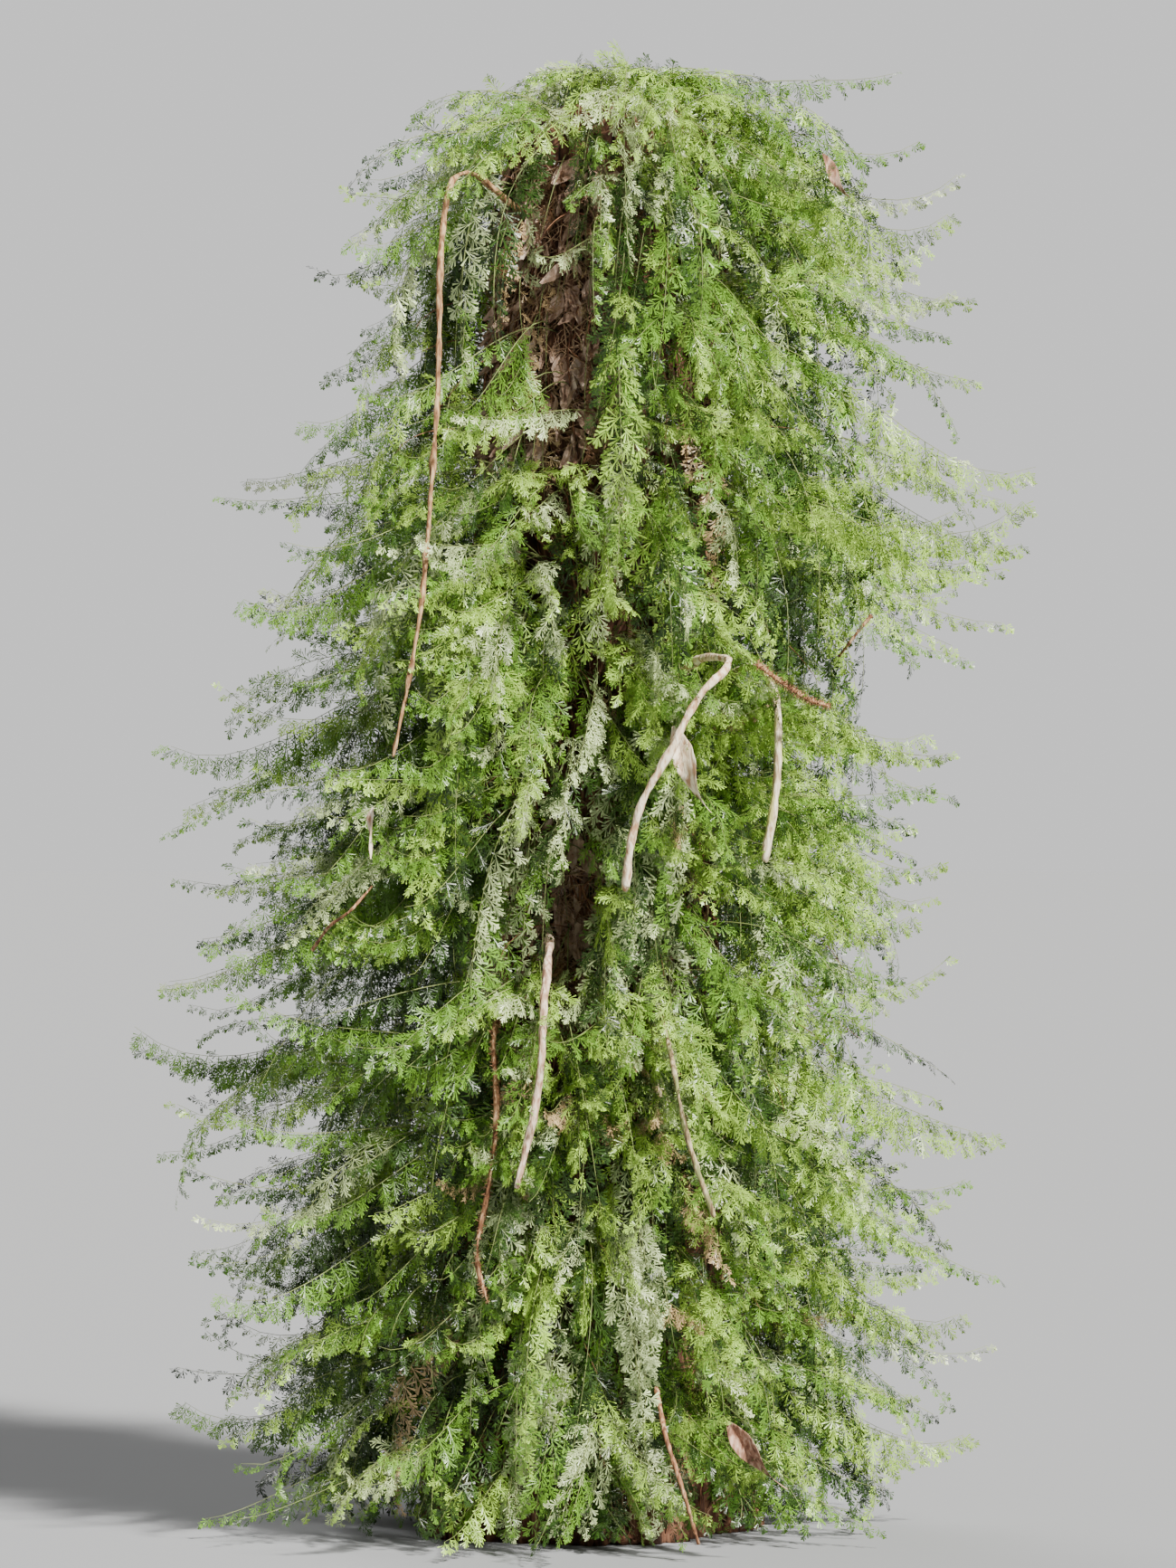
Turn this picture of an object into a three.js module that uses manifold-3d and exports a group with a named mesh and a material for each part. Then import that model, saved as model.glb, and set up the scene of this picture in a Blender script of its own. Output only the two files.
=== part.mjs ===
// A filmy fern clump on an upright fibrous trunk, in millimetres, +Z up and the viewer at -Y.
// The trunk is the column of matted roots and peat that carries the fern. Thin creeping stems climb it,
// groups of fronds grow from it in staggered rings, and dead stalks hang in the foliage.
// The origin is the middle of the flat cut under the trunk, at ground level.
import * as THREE from "three";
import { mergeVertices } from "three/addons/utils/BufferGeometryUtils.js";
import Module from "manifold-3d";

const wasm = await Module();
wasm.setup();

// Trunk
const TRUNK_HEIGHT = 856;
const TRUNK_FOOT_RADIUS = 84;
const TRUNK_TOP_RADIUS = 62;
const TRUNK_DOME = 46;
const ROOT_FLARE = 17;
const ROOT_FLARE_HEIGHT = 48;
const TRUNK_LEAN = 22;
const TRUNK_SIDES = 25;
const TRUNK_LEVELS = 15;
const DOME_LEVELS = 3;

// Creeping stems, which follow the trunk's skin
const STEM_RADIUS = 2.6;
const STEM_SIDES = 5;
const STEM_STEPS = 15;
const STEM_WAVE = 4 * (Math.PI / 180);
const STEM_GAP = 0.42;

// Rings of frond roots: each has its height, the reach of its tips to the right and to the left of the
// trunk's foot, and how far those tips hang below their roots.
const RINGS = [
  { height: 92, right: 232, left: 236, rightDrop: 30, leftDrop: 22 },
  { height: 195, right: 238, left: 222, rightDrop: 49, leftDrop: 44 },
  { height: 298, right: 248, left: 266, rightDrop: 57, leftDrop: 4 },
  { height: 401, right: 196, left: 228, rightDrop: 40, leftDrop: 52 },
  { height: 504, right: 206, left: 248, rightDrop: 28, leftDrop: 52 },
  { height: 607, right: 268, left: 206, rightDrop: 11, leftDrop: 52 },
  { height: 710, right: 276, left: 164, rightDrop: 79, leftDrop: 52 },
  { height: 800, right: 226, left: 130, rightDrop: 34, leftDrop: 44 },
];
const ROOTS_PER_RING = 6;
const FRONT_AND_BACK_SHARE = 0.9;
const ROOT_SHIFT = 14;
const ROOT_GAP = 0.35;

// Fronds: each root carries one that arches out and two that hang down over the trunk, one on each side.
// turn is in degrees, and out is the furthest distance from the root as a share of the length.
const ARCHING = { halfWidth: 42, pairs: 6, stipeShare: 0.18, stipeSteps: 1, droop: 36, ribScale: 1 };
const HANGING = { halfWidth: 46, pairs: 4, stipeShare: 0.26, stipeSteps: 1, droop: 16, ribScale: 0.7 };
const HANGING_PAIR = [
  { turn: 40, out: 0.5, length: 146 },
  { turn: -44, out: 0.34, length: 132 },
];
const SWAY = 6 * (Math.PI / 180);
const ROOT_RIB = { width: 5.5, thickness: 4.5 };
const TIP_RIB = { width: 1.8, thickness: 2.2 };
const LEAFLET_TIP_THICKNESS = 1.1;
const LEAFLET_SLANT = 0.45;

// Room between fronds: the turns, in degrees, and the lengths tried until one is clear of its neighbours
const TURNS = [0, 3, -3, 6, -6, 9, -9, 12, -12];
const SHORTER = [1, 0.88, 0.76, 0.64, 0.52];
const CLEARANCE = 0.6;
const GROUND_CLEARANCE = 5;
const ROOT_ZONE = 24;

// Tuft on the trunk's rounded top
const TUFT_FRONDS = 6;
const TUFT_REACH = 104;
const TUFT_RISE = 30;
const TUFT_DROP = 44;
const TUFT = { ...HANGING, droop: 8, ribScale: 0.9 };

const SEED = 7;

function seededRandom(seed) {
  let state = seed >>> 0;
  return () => {
    state = (state + 0x6d2b79f5) >>> 0;
    let t = Math.imul(state ^ (state >>> 15), 1 | state);
    t = (t + Math.imul(t ^ (t >>> 7), 61 | t)) ^ t;
    return ((t ^ (t >>> 14)) >>> 0) / 4294967296;
  };
}

// Solids and meshes

function geometryOf(vertices, triangles) {
  const geometry = new THREE.BufferGeometry();
  const flat = vertices.flatMap((v) => [v.x, v.y, v.z]);
  geometry.setAttribute("position", new THREE.Float32BufferAttribute(flat, 3));
  geometry.setIndex(triangles.flat());
  return geometry;
}

function solidOf(geometry) {
  const merged = mergeVertices(geometry);
  return new wasm.Manifold(
    new wasm.Mesh({
      numProp: 3,
      vertProperties: merged.attributes.position.array,
      triVerts: new Uint32Array(merged.index.array),
    }),
  );
}

function geometryOfSolid(solid) {
  const mesh = solid.getMesh();
  const geometry = new THREE.BufferGeometry();
  geometry.setAttribute("position", new THREE.BufferAttribute(mesh.vertProperties, 3));
  geometry.setIndex(new THREE.BufferAttribute(mesh.triVerts, 1));
  return geometry;
}

// The trunk: a leaning, tapering column with low ridges of matted roots, flared at the foot

function trunkAxis(z) {
  const share = z / TRUNK_HEIGHT;
  return new THREE.Vector3(
    TRUNK_LEAN * share ** 1.5,
    6 * Math.sin(Math.PI * share) * share,
    z,
  );
}

function trunkRadius(z, azimuth) {
  const share = z / TRUNK_HEIGHT;
  const taper = THREE.MathUtils.lerp(TRUNK_FOOT_RADIUS, TRUNK_TOP_RADIUS, share ** 1.2);
  const flare = ROOT_FLARE * Math.exp(-z / ROOT_FLARE_HEIGHT) * (1 + 0.4 * Math.cos(5 * azimuth));
  const ridges = 0.03 * Math.cos(5 * azimuth + z / 170) + 0.02 * Math.cos(8 * azimuth - z / 120);
  const intoDome = Math.max(0, (z - (TRUNK_HEIGHT - TRUNK_DOME)) / TRUNK_DOME);
  return (taper * (1 + ridges) + flare) * Math.sqrt(Math.max(0, 1 - intoDome ** 2));
}

function trunkLevels() {
  const shoulder = TRUNK_HEIGHT - TRUNK_DOME;
  const column = Array.from(
    { length: TRUNK_LEVELS + 1 },
    (_, i) => shoulder * (i / TRUNK_LEVELS) ** 1.15,
  );
  const dome = Array.from(
    { length: DOME_LEVELS },
    (_, i) => shoulder + TRUNK_DOME * Math.sin(((i + 1) / (DOME_LEVELS + 1)) * (Math.PI / 2)),
  );
  return [...column, ...dome];
}

const LEVELS = trunkLevels();
const SIDE_ANGLE = (2 * Math.PI) / TRUNK_SIDES;

function outward(azimuth) {
  return new THREE.Vector3(Math.cos(azimuth), Math.sin(azimuth), 0);
}

function trunkPoint(z, azimuth, radius) {
  return trunkAxis(z).addScaledVector(outward(azimuth), radius);
}

// How far the faceted trunk reaches from its axis, at a height and an azimuth.
function skinRadius(z, azimuth) {
  const side = azimuth / SIDE_ANGLE;
  const first = Math.floor(side) * SIDE_ANGLE;
  const chord = (level) => {
    const a = trunkRadius(level, first);
    const b = trunkRadius(level, first + SIDE_ANGLE);
    const past = azimuth - first;
    return (a * b * Math.sin(SIDE_ANGLE)) / (a * Math.sin(past) + b * Math.sin(SIDE_ANGLE - past));
  };
  const above = Math.max(1, LEVELS.findIndex((level) => level >= z));
  const [low, high] = [LEVELS[above - 1], LEVELS[above]];
  return THREE.MathUtils.lerp(chord(low), chord(high), (z - low) / (high - low));
}

// A point just clear of the trunk's skin, for the flat end of a stalk of this width.
function seatOnTrunk(z, azimuth, width, gap) {
  const half = width / 2;
  const turn = half / trunkRadius(z, azimuth);
  const corners = [-1, 0, 1].flatMap((i) =>
    [-1, 0, 1].map((j) => skinRadius(z + i * half, azimuth + j * turn) / Math.cos(turn)),
  );
  return trunkPoint(z, azimuth, Math.max(...corners) + gap);
}

function trunkGeometry() {
  const vertices = LEVELS.flatMap((z) =>
    Array.from({ length: TRUNK_SIDES }, (_, i) => {
      const azimuth = i * SIDE_ANGLE;
      return trunkPoint(z, azimuth, trunkRadius(z, azimuth));
    }),
  );
  const foot = vertices.push(trunkAxis(0)) - 1;
  const top = vertices.push(trunkAxis(TRUNK_HEIGHT)) - 1;
  const lastRing = (LEVELS.length - 1) * TRUNK_SIDES;
  const triangles = [];
  for (let i = 0; i < TRUNK_SIDES; i++) {
    const next = (i + 1) % TRUNK_SIDES;
    triangles.push([foot, next, i], [top, lastRing + i, lastRing + next]);
    for (let ring = 0; ring < lastRing; ring += TRUNK_SIDES) {
      const [a, b] = [ring + i, ring + next];
      triangles.push([a, b, b + TRUNK_SIDES], [a, b + TRUNK_SIDES, a + TRUNK_SIDES]);
    }
  }
  return geometryOf(vertices, triangles);
}

// A round limb along a curve, tapering from one radius to another, with flat closed ends

function limbGeometry(curve, rootRadius, tipRadius, steps, sides) {
  const frames = curve.computeFrenetFrames(steps, false);
  const vertices = [];
  for (let i = 0; i <= steps; i++) {
    const radius = THREE.MathUtils.lerp(rootRadius, tipRadius, i / steps);
    for (let j = 0; j < sides; j++) {
      const angle = (j / sides) * 2 * Math.PI;
      vertices.push(
        curve
          .getPointAt(i / steps)
          .addScaledVector(frames.normals[i], radius * Math.cos(angle))
          .addScaledVector(frames.binormals[i], radius * Math.sin(angle)),
      );
    }
  }
  const triangles = [];
  for (let j = 0; j < sides; j++) {
    const next = (j + 1) % sides;
    for (let ring = 0; ring < steps * sides; ring += sides) {
      const [a, b] = [ring + j, ring + next];
      triangles.push([a, b, b + sides], [a, b + sides, a + sides]);
    }
    if (j > 0 && j < sides - 1) {
      const last = steps * sides;
      triangles.push([0, j + 1, j], [last, last + j, last + j + 1]);
    }
  }
  return geometryOf(vertices, triangles);
}

function climbingStem(azimuth, low, high) {
  const points = Array.from({ length: STEM_STEPS + 1 }, (_, i) => {
    const z = THREE.MathUtils.lerp(low, high, i / STEM_STEPS);
    const turned = azimuth + STEM_WAVE * Math.sin(z / 70 + azimuth);
    return trunkPoint(z, turned, skinRadius(z, turned) + STEM_RADIUS + STEM_GAP);
  });
  const curve = new THREE.CatmullRomCurve3(points);
  return limbGeometry(curve, STEM_RADIUS, STEM_RADIUS * 0.7, STEM_STEPS, STEM_SIDES);
}

// Dead stalks: each leaves the trunk's skin at its root and passes through the points of its path

function deadStalk({ root, path, radii, steps }) {
  const azimuth = THREE.MathUtils.degToRad(root.azimuth);
  const start = seatOnTrunk(root.z, azimuth, 2.6 * radii[0], ROOT_GAP);
  const clear = start.clone().addScaledVector(outward(azimuth), root.straight);
  const points = [start, clear, ...path.map(([x, y, z]) => new THREE.Vector3(x, y, z))];
  const curve = new THREE.CatmullRomCurve3(points, false, "centripetal");
  return limbGeometry(curve, radii[0], radii[1], steps, STEM_SIDES);
}

const DEAD_STALKS = {
  dead_stalk_long: {
    root: { z: 778, azimuth: 225, straight: 10 },
    path: [
      [-70, -88, 806],
      [-80, -112, 760],
      [-81, -132, 690],
      [-85, -146, 616],
      [-92, -154, 536],
      [-107, -158, 458],
    ],
    radii: [2.3, 1.5],
    steps: 16,
  },
  dead_stalk_hooked: {
    root: { z: 490, azimuth: 294, straight: 14 },
    path: [
      [70, -146, 516],
      [88, -182, 512],
      [70, -198, 497],
      [52, -202, 462],
      [33, -198, 428],
      [26, -190, 382],
    ],
    radii: [3.4, 2.4],
    steps: 16,
  },
  dead_stalk_right: {
    root: { z: 498, azimuth: 315, straight: 16 },
    path: [
      [100, -118, 512],
      [112, -150, 500],
      [114, -160, 450],
      [106, -164, 398],
    ],
    radii: [3.2, 2.9],
    steps: 12,
  },
  dead_stalk_pale: {
    root: { z: 352, azimuth: 255, straight: 12 },
    path: [
      [-17, -150, 350],
      [-20, -172, 322],
      [-23, -178, 270],
      [-36, -182, 212],
    ],
    radii: [2.8, 2.6],
    steps: 12,
  },
  dead_stalk_brown: {
    root: { z: 318, azimuth: 246, straight: 12 },
    path: [
      [-50, -130, 302],
      [-47, -150, 260],
      [-53, -158, 205],
      [-60, -162, 172],
      [-52, -166, 146],
    ],
    radii: [2.4, 1.3],
    steps: 12,
  },
  dead_stalk_low: {
    root: { z: 318, azimuth: 294, straight: 14 },
    path: [
      [50, -150, 300],
      [54, -172, 280],
      [62, -180, 240],
      [77, -184, 196],
    ],
    radii: [1.9, 1.4],
    steps: 10,
  },
};

// Fronds

// Half the width of a frond, from its first leaflet at 0 to its tip at 1, as a share of the widest.
function frondOutline(share) {
  return Math.sin(Math.PI * share ** 0.62);
}

// A thin blade on both sides of a midrib, cut to the rib between its leaflets.
// across is the level direction of the leaflets, and droop is how many degrees they fold down at the rib.
// The root's end is upright and lies along rootAcross, like the skin it grows from.
function frondGeometry(midrib, across, rootAcross, form, spare = 0) {
  const { halfWidth, pairs, stipeShare, stipeSteps, ribScale } = form;
  const droop = THREE.MathUtils.degToRad(form.droop);
  const vertices = [];
  const triangles = [];
  const addPair = (point, up, thickness) => {
    const half = up.clone().multiplyScalar(thickness / 2 + spare);
    return [vertices.push(point.clone().add(half)) - 1, vertices.push(point.clone().sub(half)) - 1];
  };
  const frameAt = (share) => {
    const point = midrib.getPointAt(share);
    const along = midrib.getTangentAt(share);
    if (share === 0) return { point, along, side: rootAcross, up: new THREE.Vector3(0, 0, 1) };
    const side = across.clone().addScaledVector(along, -across.dot(along)).normalize();
    const up = along.clone().cross(side).normalize();
    return { point, along, side, up };
  };
  const ribAt = (share) => ({
    width: ribScale * THREE.MathUtils.lerp(ROOT_RIB.width, TIP_RIB.width, Math.sqrt(share)),
    thickness: ribScale * THREE.MathUtils.lerp(ROOT_RIB.thickness, TIP_RIB.thickness, Math.sqrt(share)),
  });
  const bladeShare = (i) => stipeShare + (1 - stipeShare) * 0.94 * (i / pairs);
  const stipe = Array.from({ length: stipeSteps }, (_, i) => (stipeShare * i) / stipeSteps);
  const shares = [...stipe, ...Array.from({ length: pairs + 1 }, (_, i) => bladeShare(i))];
  const stations = shares.map((share) => {
    const { point, side, up } = frameAt(share);
    const rib = ribAt(share);
    const edge = (sign) => point.clone().addScaledVector(side, sign * (rib.width / 2 + spare));
    return { left: addPair(edge(1), up, rib.thickness), right: addPair(edge(-1), up, rib.thickness) };
  });
  // A wall joins two pairs of vertices, top and bottom, seen from outside with a on the left.
  const wall = (a, b) => triangles.push([a[0], a[1], b[1]], [a[0], b[1], b[0]]);
  const cover = (a, b, c) => triangles.push([a[0], b[0], c[0]], [c[1], b[1], a[1]]);

  for (let i = 0; i + 1 < stations.length; i++) {
    const [here, next] = [stations[i], stations[i + 1]];
    cover(here.left, here.right, next.right);
    cover(here.left, next.right, next.left);
    if (i < stipeSteps) {
      wall(next.left, here.left);
      wall(here.right, next.right);
      continue;
    }
    const share = (shares[i] + shares[i + 1]) / 2;
    const { point, along, side, up } = frameAt(share);
    const length = halfWidth * frondOutline((i - stipeSteps + 0.5) / pairs);
    for (const sign of [1, -1]) {
      const tip = point
        .clone()
        .addScaledVector(side, sign * (length * Math.cos(droop) + 2 + spare))
        .addScaledVector(up, -length * Math.sin(droop))
        .addScaledVector(along, length * LEAFLET_SLANT);
      const end = addPair(tip, up, LEAFLET_TIP_THICKNESS);
      if (sign > 0) {
        cover(here.left, next.left, end);
        wall(end, here.left);
        wall(next.left, end);
      } else {
        cover(here.right, end, next.right);
        wall(here.right, end);
        wall(end, next.right);
      }
    }
  }
  const last = stations[stations.length - 1];
  const tipFrame = frameAt(1);
  const tip = addPair(tipFrame.point, tipFrame.up, LEAFLET_TIP_THICKNESS);
  cover(last.left, last.right, tip);
  wall(last.right, tip);
  wall(tip, last.left);
  wall(stations[0].left, stations[0].right);
  return geometryOf(vertices, triangles);
}

// The midrib of a frond that arches out, dips and lifts its tip.
function archingMidrib(root, azimuth, span, drop) {
  const point = (out, down) =>
    root.clone().addScaledVector(outward(azimuth), out * span).add(new THREE.Vector3(0, 0, -down));
  return new THREE.CubicBezierCurve3(
    root.clone(),
    point(0.3, -0.1 * span),
    point(0.7, drop + 0.42 * span),
    point(1, drop),
  );
}

// The midrib of a frond that leaves the trunk and hangs down over it, at most about out times its length
// away from the root.
function hangingMidrib(root, azimuth, length, out) {
  const point = (share, down) =>
    root
      .clone()
      .addScaledVector(outward(azimuth), share * out * length)
      .add(new THREE.Vector3(0, 0, -down * length));
  return new THREE.CubicBezierCurve3(root.clone(), point(0.55, 0.12), point(1.1, 0.3), point(0.9, 0.88));
}

function levelAcross(azimuth) {
  return outward(azimuth + Math.PI / 2);
}

// What already stands in the clump. A new frond is turned or shortened until it is clear of all of it.
const placed = [];

function place(solid, site) {
  placed.push({ solid, site, box: solid.boundingBox() });
}

function boxesMeet(a, b) {
  return [0, 1, 2].every((i) => a.min[i] < b.max[i] && b.min[i] < a.max[i]);
}

function staysAtRoot(shared, root) {
  const { min, max } = shared.boundingBox();
  const from = root.toArray();
  return from.every((value, i) => max[i] - value < ROOT_ZONE && value - min[i] < ROOT_ZONE);
}

// Fronds of one root may meet close to it. Everything else has to be apart.
function isClear(solid, site) {
  const box = solid.boundingBox();
  if (box.min[2] < GROUND_CLEARANCE) return false;
  return placed
    .filter((other) => boxesMeet(box, other.box))
    .every((other) => {
      const shared = solid.intersect(other.solid);
      return shared.isEmpty() || (other.site === site && staysAtRoot(shared, site.root));
    });
}

// The reach of a ring at an azimuth: right and left as the ring gives them, and shorter in between.
function ringReach(ring, azimuth, slotsOnAxis) {
  const towardsRight = Math.cos(azimuth);
  const sides = towardsRight > 0 ? ring.right : ring.left;
  const spread = slotsOnAxis ? 1 : 1 / Math.cos(Math.PI / ROOTS_PER_RING);
  const middle = (FRONT_AND_BACK_SHARE * (ring.right + ring.left)) / 2;
  return THREE.MathUtils.lerp(middle, sides * spread, Math.abs(towardsRight) ** 1.5);
}

// Where a group of fronds grows: its root on the trunk's skin, and how far its arching frond reaches.
function frondSite(ringIndex, slot, random) {
  const ring = RINGS[ringIndex];
  const slotsOnAxis = ringIndex % 2 === 0;
  const azimuth = (slot + (slotsOnAxis ? 0 : 0.5)) * ((2 * Math.PI) / ROOTS_PER_RING);
  const z = ring.height + ROOT_SHIFT * (random() - 0.5);
  const root = seatOnTrunk(z, azimuth, ROOT_RIB.width + 2 * CLEARANCE, ROOT_GAP);
  const reach = ringReach(ring, azimuth, slotsOnAxis) - Math.cos(azimuth) * trunkAxis(z).x;
  return {
    name: `fronds_ring${ringIndex + 1}_${slot + 1}`,
    azimuth,
    sway: SWAY * (random() - 0.5),
    root,
    span: reach - skinRadius(z, azimuth),
    drop: Math.cos(azimuth) > 0 ? ring.rightDrop : ring.leftDrop,
  };
}

// A frond turned by turn and scaled by shorter. It is thicker by spare where its clearance is tested.
function archingFrond({ root, azimuth, sway, span, drop }, turn, shorter, spare) {
  const turned = azimuth + sway + turn;
  const midrib = archingMidrib(root, turned, span * shorter, drop * shorter);
  return frondGeometry(midrib, levelAcross(turned), levelAcross(azimuth), ARCHING, spare);
}

function hangingFrond({ turn: own, out, length }) {
  return ({ root, azimuth }, turn, shorter, spare) => {
    const aside = turn + THREE.MathUtils.degToRad(own);
    const inStipe = root.clone().addScaledVector(outward(azimuth), ROOT_RIB.thickness * 0.6);
    const midrib = hangingMidrib(inStipe, azimuth + aside, length * shorter, out);
    return frondGeometry(midrib, levelAcross(azimuth + aside / 2), levelAcross(azimuth), HANGING, spare);
  };
}

// The frond at the first turn and length where it is clear of everything placed so far.
function firstClear(frond, site) {
  for (const shorter of SHORTER) {
    for (const degrees of TURNS) {
      const turn = THREE.MathUtils.degToRad(degrees);
      if (isClear(solidOf(frond(site, turn, shorter, CLEARANCE)), site)) {
        return solidOf(frond(site, turn, shorter, 0));
      }
    }
  }
  return null;
}

function topTuft() {
  const foot = trunkAxis(TRUNK_HEIGHT).add(new THREE.Vector3(0, 0, ROOT_GAP));
  const bud = new THREE.IcosahedronGeometry(7, 0).scale(1, 1, 0.8);
  bud.deleteAttribute("normal");
  bud.deleteAttribute("uv");
  const lowest = new THREE.Box3().setFromBufferAttribute(bud.attributes.position).min.z;
  bud.translate(foot.x, foot.y, foot.z - lowest);
  let tuft = solidOf(bud);
  const centre = foot.clone().add(new THREE.Vector3(0, 0, -lowest));
  for (let i = 0; i < TUFT_FRONDS; i++) {
    const azimuth = (i / TUFT_FRONDS) * 2 * Math.PI;
    const point = (out, up) =>
      centre
        .clone()
        .addScaledVector(outward(azimuth), out * TUFT_REACH)
        .add(new THREE.Vector3(0, 0, up));
    const midrib = new THREE.CubicBezierCurve3(
      centre.clone(),
      point(0.3, TUFT_RISE),
      point(0.75, TUFT_RISE),
      point(1, -TUFT_DROP),
    );
    const across = levelAcross(azimuth);
    tuft = tuft.add(solidOf(frondGeometry(midrib, across, across, TUFT)));
  }
  place(tuft);
  return geometryOfSolid(tuft);
}

// The whole clump

const trunkMaterial = new THREE.MeshStandardMaterial({ color: 0x4a3324, roughness: 0.95, metalness: 0 });
const stemMaterial = new THREE.MeshStandardMaterial({ color: 0x6b4a30, roughness: 0.8, metalness: 0 });
const stalkMaterial = new THREE.MeshStandardMaterial({ color: 0xa08a66, roughness: 0.75, metalness: 0 });
const frondMaterial = new THREE.MeshStandardMaterial({ color: 0x6f9a3c, roughness: 0.6, metalness: 0 });

const clump = new THREE.Group();

function addPiece(name, geometry, material) {
  geometry.computeVertexNormals();
  const mesh = new THREE.Mesh(geometry, material);
  mesh.name = name;
  clump.add(mesh);
}

function addTrunkAndStems() {
  const trunk = trunkGeometry();
  place(solidOf(trunk));
  addPiece("trunk", trunk, trunkMaterial);
  const stems = [
    [15, 18, 700],
    [105, 24, 770],
    [195, 20, 720],
    [285, 16, 790],
  ];
  stems.forEach(([azimuth, low, high], i) => {
    const stem = climbingStem(THREE.MathUtils.degToRad(azimuth), low, high);
    place(solidOf(stem));
    addPiece(`climbing_stem_${i + 1}`, stem, stemMaterial);
  });
}

function addDeadStalks() {
  for (const [name, stalk] of Object.entries(DEAD_STALKS)) {
    const geometry = deadStalk(stalk);
    place(solidOf(geometry));
    addPiece(name, geometry, stalkMaterial);
  }
}

// All the arching fronds take their places first, then the hanging ones fill the room between them.
function addFronds() {
  const random = seededRandom(SEED);
  const sites = RINGS.flatMap((_, ring) =>
    Array.from({ length: ROOTS_PER_RING }, (_, slot) => frondSite(ring, slot, random)),
  );
  for (const site of sites) {
    site.solid = firstClear(archingFrond, site);
    if (site.solid) place(site.solid, site);
  }
  for (const form of HANGING_PAIR) {
    for (const site of sites) {
      const hanging = firstClear(hangingFrond(form), site);
      if (!hanging) continue;
      place(hanging, site);
      site.solid = site.solid ? site.solid.add(hanging) : hanging;
    }
  }
  for (const { name, solid } of sites) {
    if (solid) addPiece(name, geometryOfSolid(solid), frondMaterial);
  }
}

addTrunkAndStems();
addDeadStalks();
addPiece("fronds_top_tuft", topTuft(), frondMaterial);
addFronds();

export default clump;
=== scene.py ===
# %% [markdown]
# # A filmy fern on its trunk
# The plant is a clump of finely cut fronds that grow from thin creeping stems on an upright column of
# matted roots. The imported model is a plain version of it, with one solid for the trunk, one for each
# stem and dead stalk, and one for each group of fronds. This lesson dresses that frame. It gives the
# trunk its fibres and grows the foliage again with the same rule, but much finer. We begin by loading
# the frame, and keep its box, because the dressed plant is kept within a few millimetres of it.

# %% Load the frame
import math

import bpy
import numpy as np
from mathutils import Matrix, Vector, noise
from mathutils.bvhtree import BVHTree


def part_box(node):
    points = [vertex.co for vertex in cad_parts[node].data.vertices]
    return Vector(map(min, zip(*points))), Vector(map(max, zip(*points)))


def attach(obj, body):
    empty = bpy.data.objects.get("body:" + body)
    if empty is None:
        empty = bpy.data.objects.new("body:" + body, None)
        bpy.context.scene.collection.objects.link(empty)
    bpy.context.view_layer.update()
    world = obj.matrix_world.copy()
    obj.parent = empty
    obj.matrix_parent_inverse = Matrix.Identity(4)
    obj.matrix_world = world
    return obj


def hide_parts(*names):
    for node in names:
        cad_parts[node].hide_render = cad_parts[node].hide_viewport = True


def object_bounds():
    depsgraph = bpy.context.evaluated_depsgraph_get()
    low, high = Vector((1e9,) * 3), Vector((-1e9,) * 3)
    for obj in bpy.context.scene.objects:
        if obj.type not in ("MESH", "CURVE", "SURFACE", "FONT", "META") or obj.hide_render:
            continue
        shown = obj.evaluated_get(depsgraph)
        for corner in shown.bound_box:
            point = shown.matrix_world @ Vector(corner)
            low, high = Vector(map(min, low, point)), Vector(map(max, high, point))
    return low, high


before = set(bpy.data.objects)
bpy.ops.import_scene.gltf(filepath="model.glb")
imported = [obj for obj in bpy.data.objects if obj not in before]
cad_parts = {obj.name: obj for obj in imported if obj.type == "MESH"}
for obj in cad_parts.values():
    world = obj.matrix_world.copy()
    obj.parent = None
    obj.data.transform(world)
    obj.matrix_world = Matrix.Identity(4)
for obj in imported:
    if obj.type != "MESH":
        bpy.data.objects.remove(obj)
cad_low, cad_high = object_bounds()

print("nodes in the frame:", len(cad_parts))
print("box of the frame:", [round(v, 3) for v in cad_low], [round(v, 3) for v in cad_high])

# %% [markdown]
# ## Camera
# The photograph looks at the clump level, from a few steps away. We work out from it how large a pixel is at
# the trunk, and where the trunk's foot would be. Those few values place the camera, and later they also
# place what we see in the photograph. The frame is a little wider than the photograph, so that the foot
# and the top of the plant show as well.

# %% Camera
METRES_PER_PIXEL = 0.0005
PHOTO_WIDTH = 1300
PHOTO_HEIGHT = 1733
TRUNK_COLUMN = 640
GROUND_ROW = 1753
CAMERA_DISTANCE = 4.0
FRAME_MARGIN = 1.08
SENSOR = 36


def photo_point(column, row, depth=0.0):
    """The place of a pixel of the photograph, at a depth behind the trunk's axis."""
    x = (column - TRUNK_COLUMN) * METRES_PER_PIXEL
    z = (GROUND_ROW - row) * METRES_PER_PIXEL
    return Vector((x, depth, z))


def add_camera():
    target = photo_point(PHOTO_WIDTH / 2, PHOTO_HEIGHT / 2)
    bpy.ops.object.camera_add(
        location=target + Vector((0, -CAMERA_DISTANCE, 0)),
        rotation=(math.radians(90), 0, 0),
    )
    camera = bpy.context.object
    camera.name = "camera"
    camera.data.sensor_width = SENSOR
    camera.data.lens = SENSOR * CAMERA_DISTANCE / (PHOTO_HEIGHT * METRES_PER_PIXEL * FRAME_MARGIN)
    bpy.context.scene.camera = camera
    return camera


camera = add_camera()
print("lens in millimetres:", round(camera.data.lens, 1))

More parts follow.
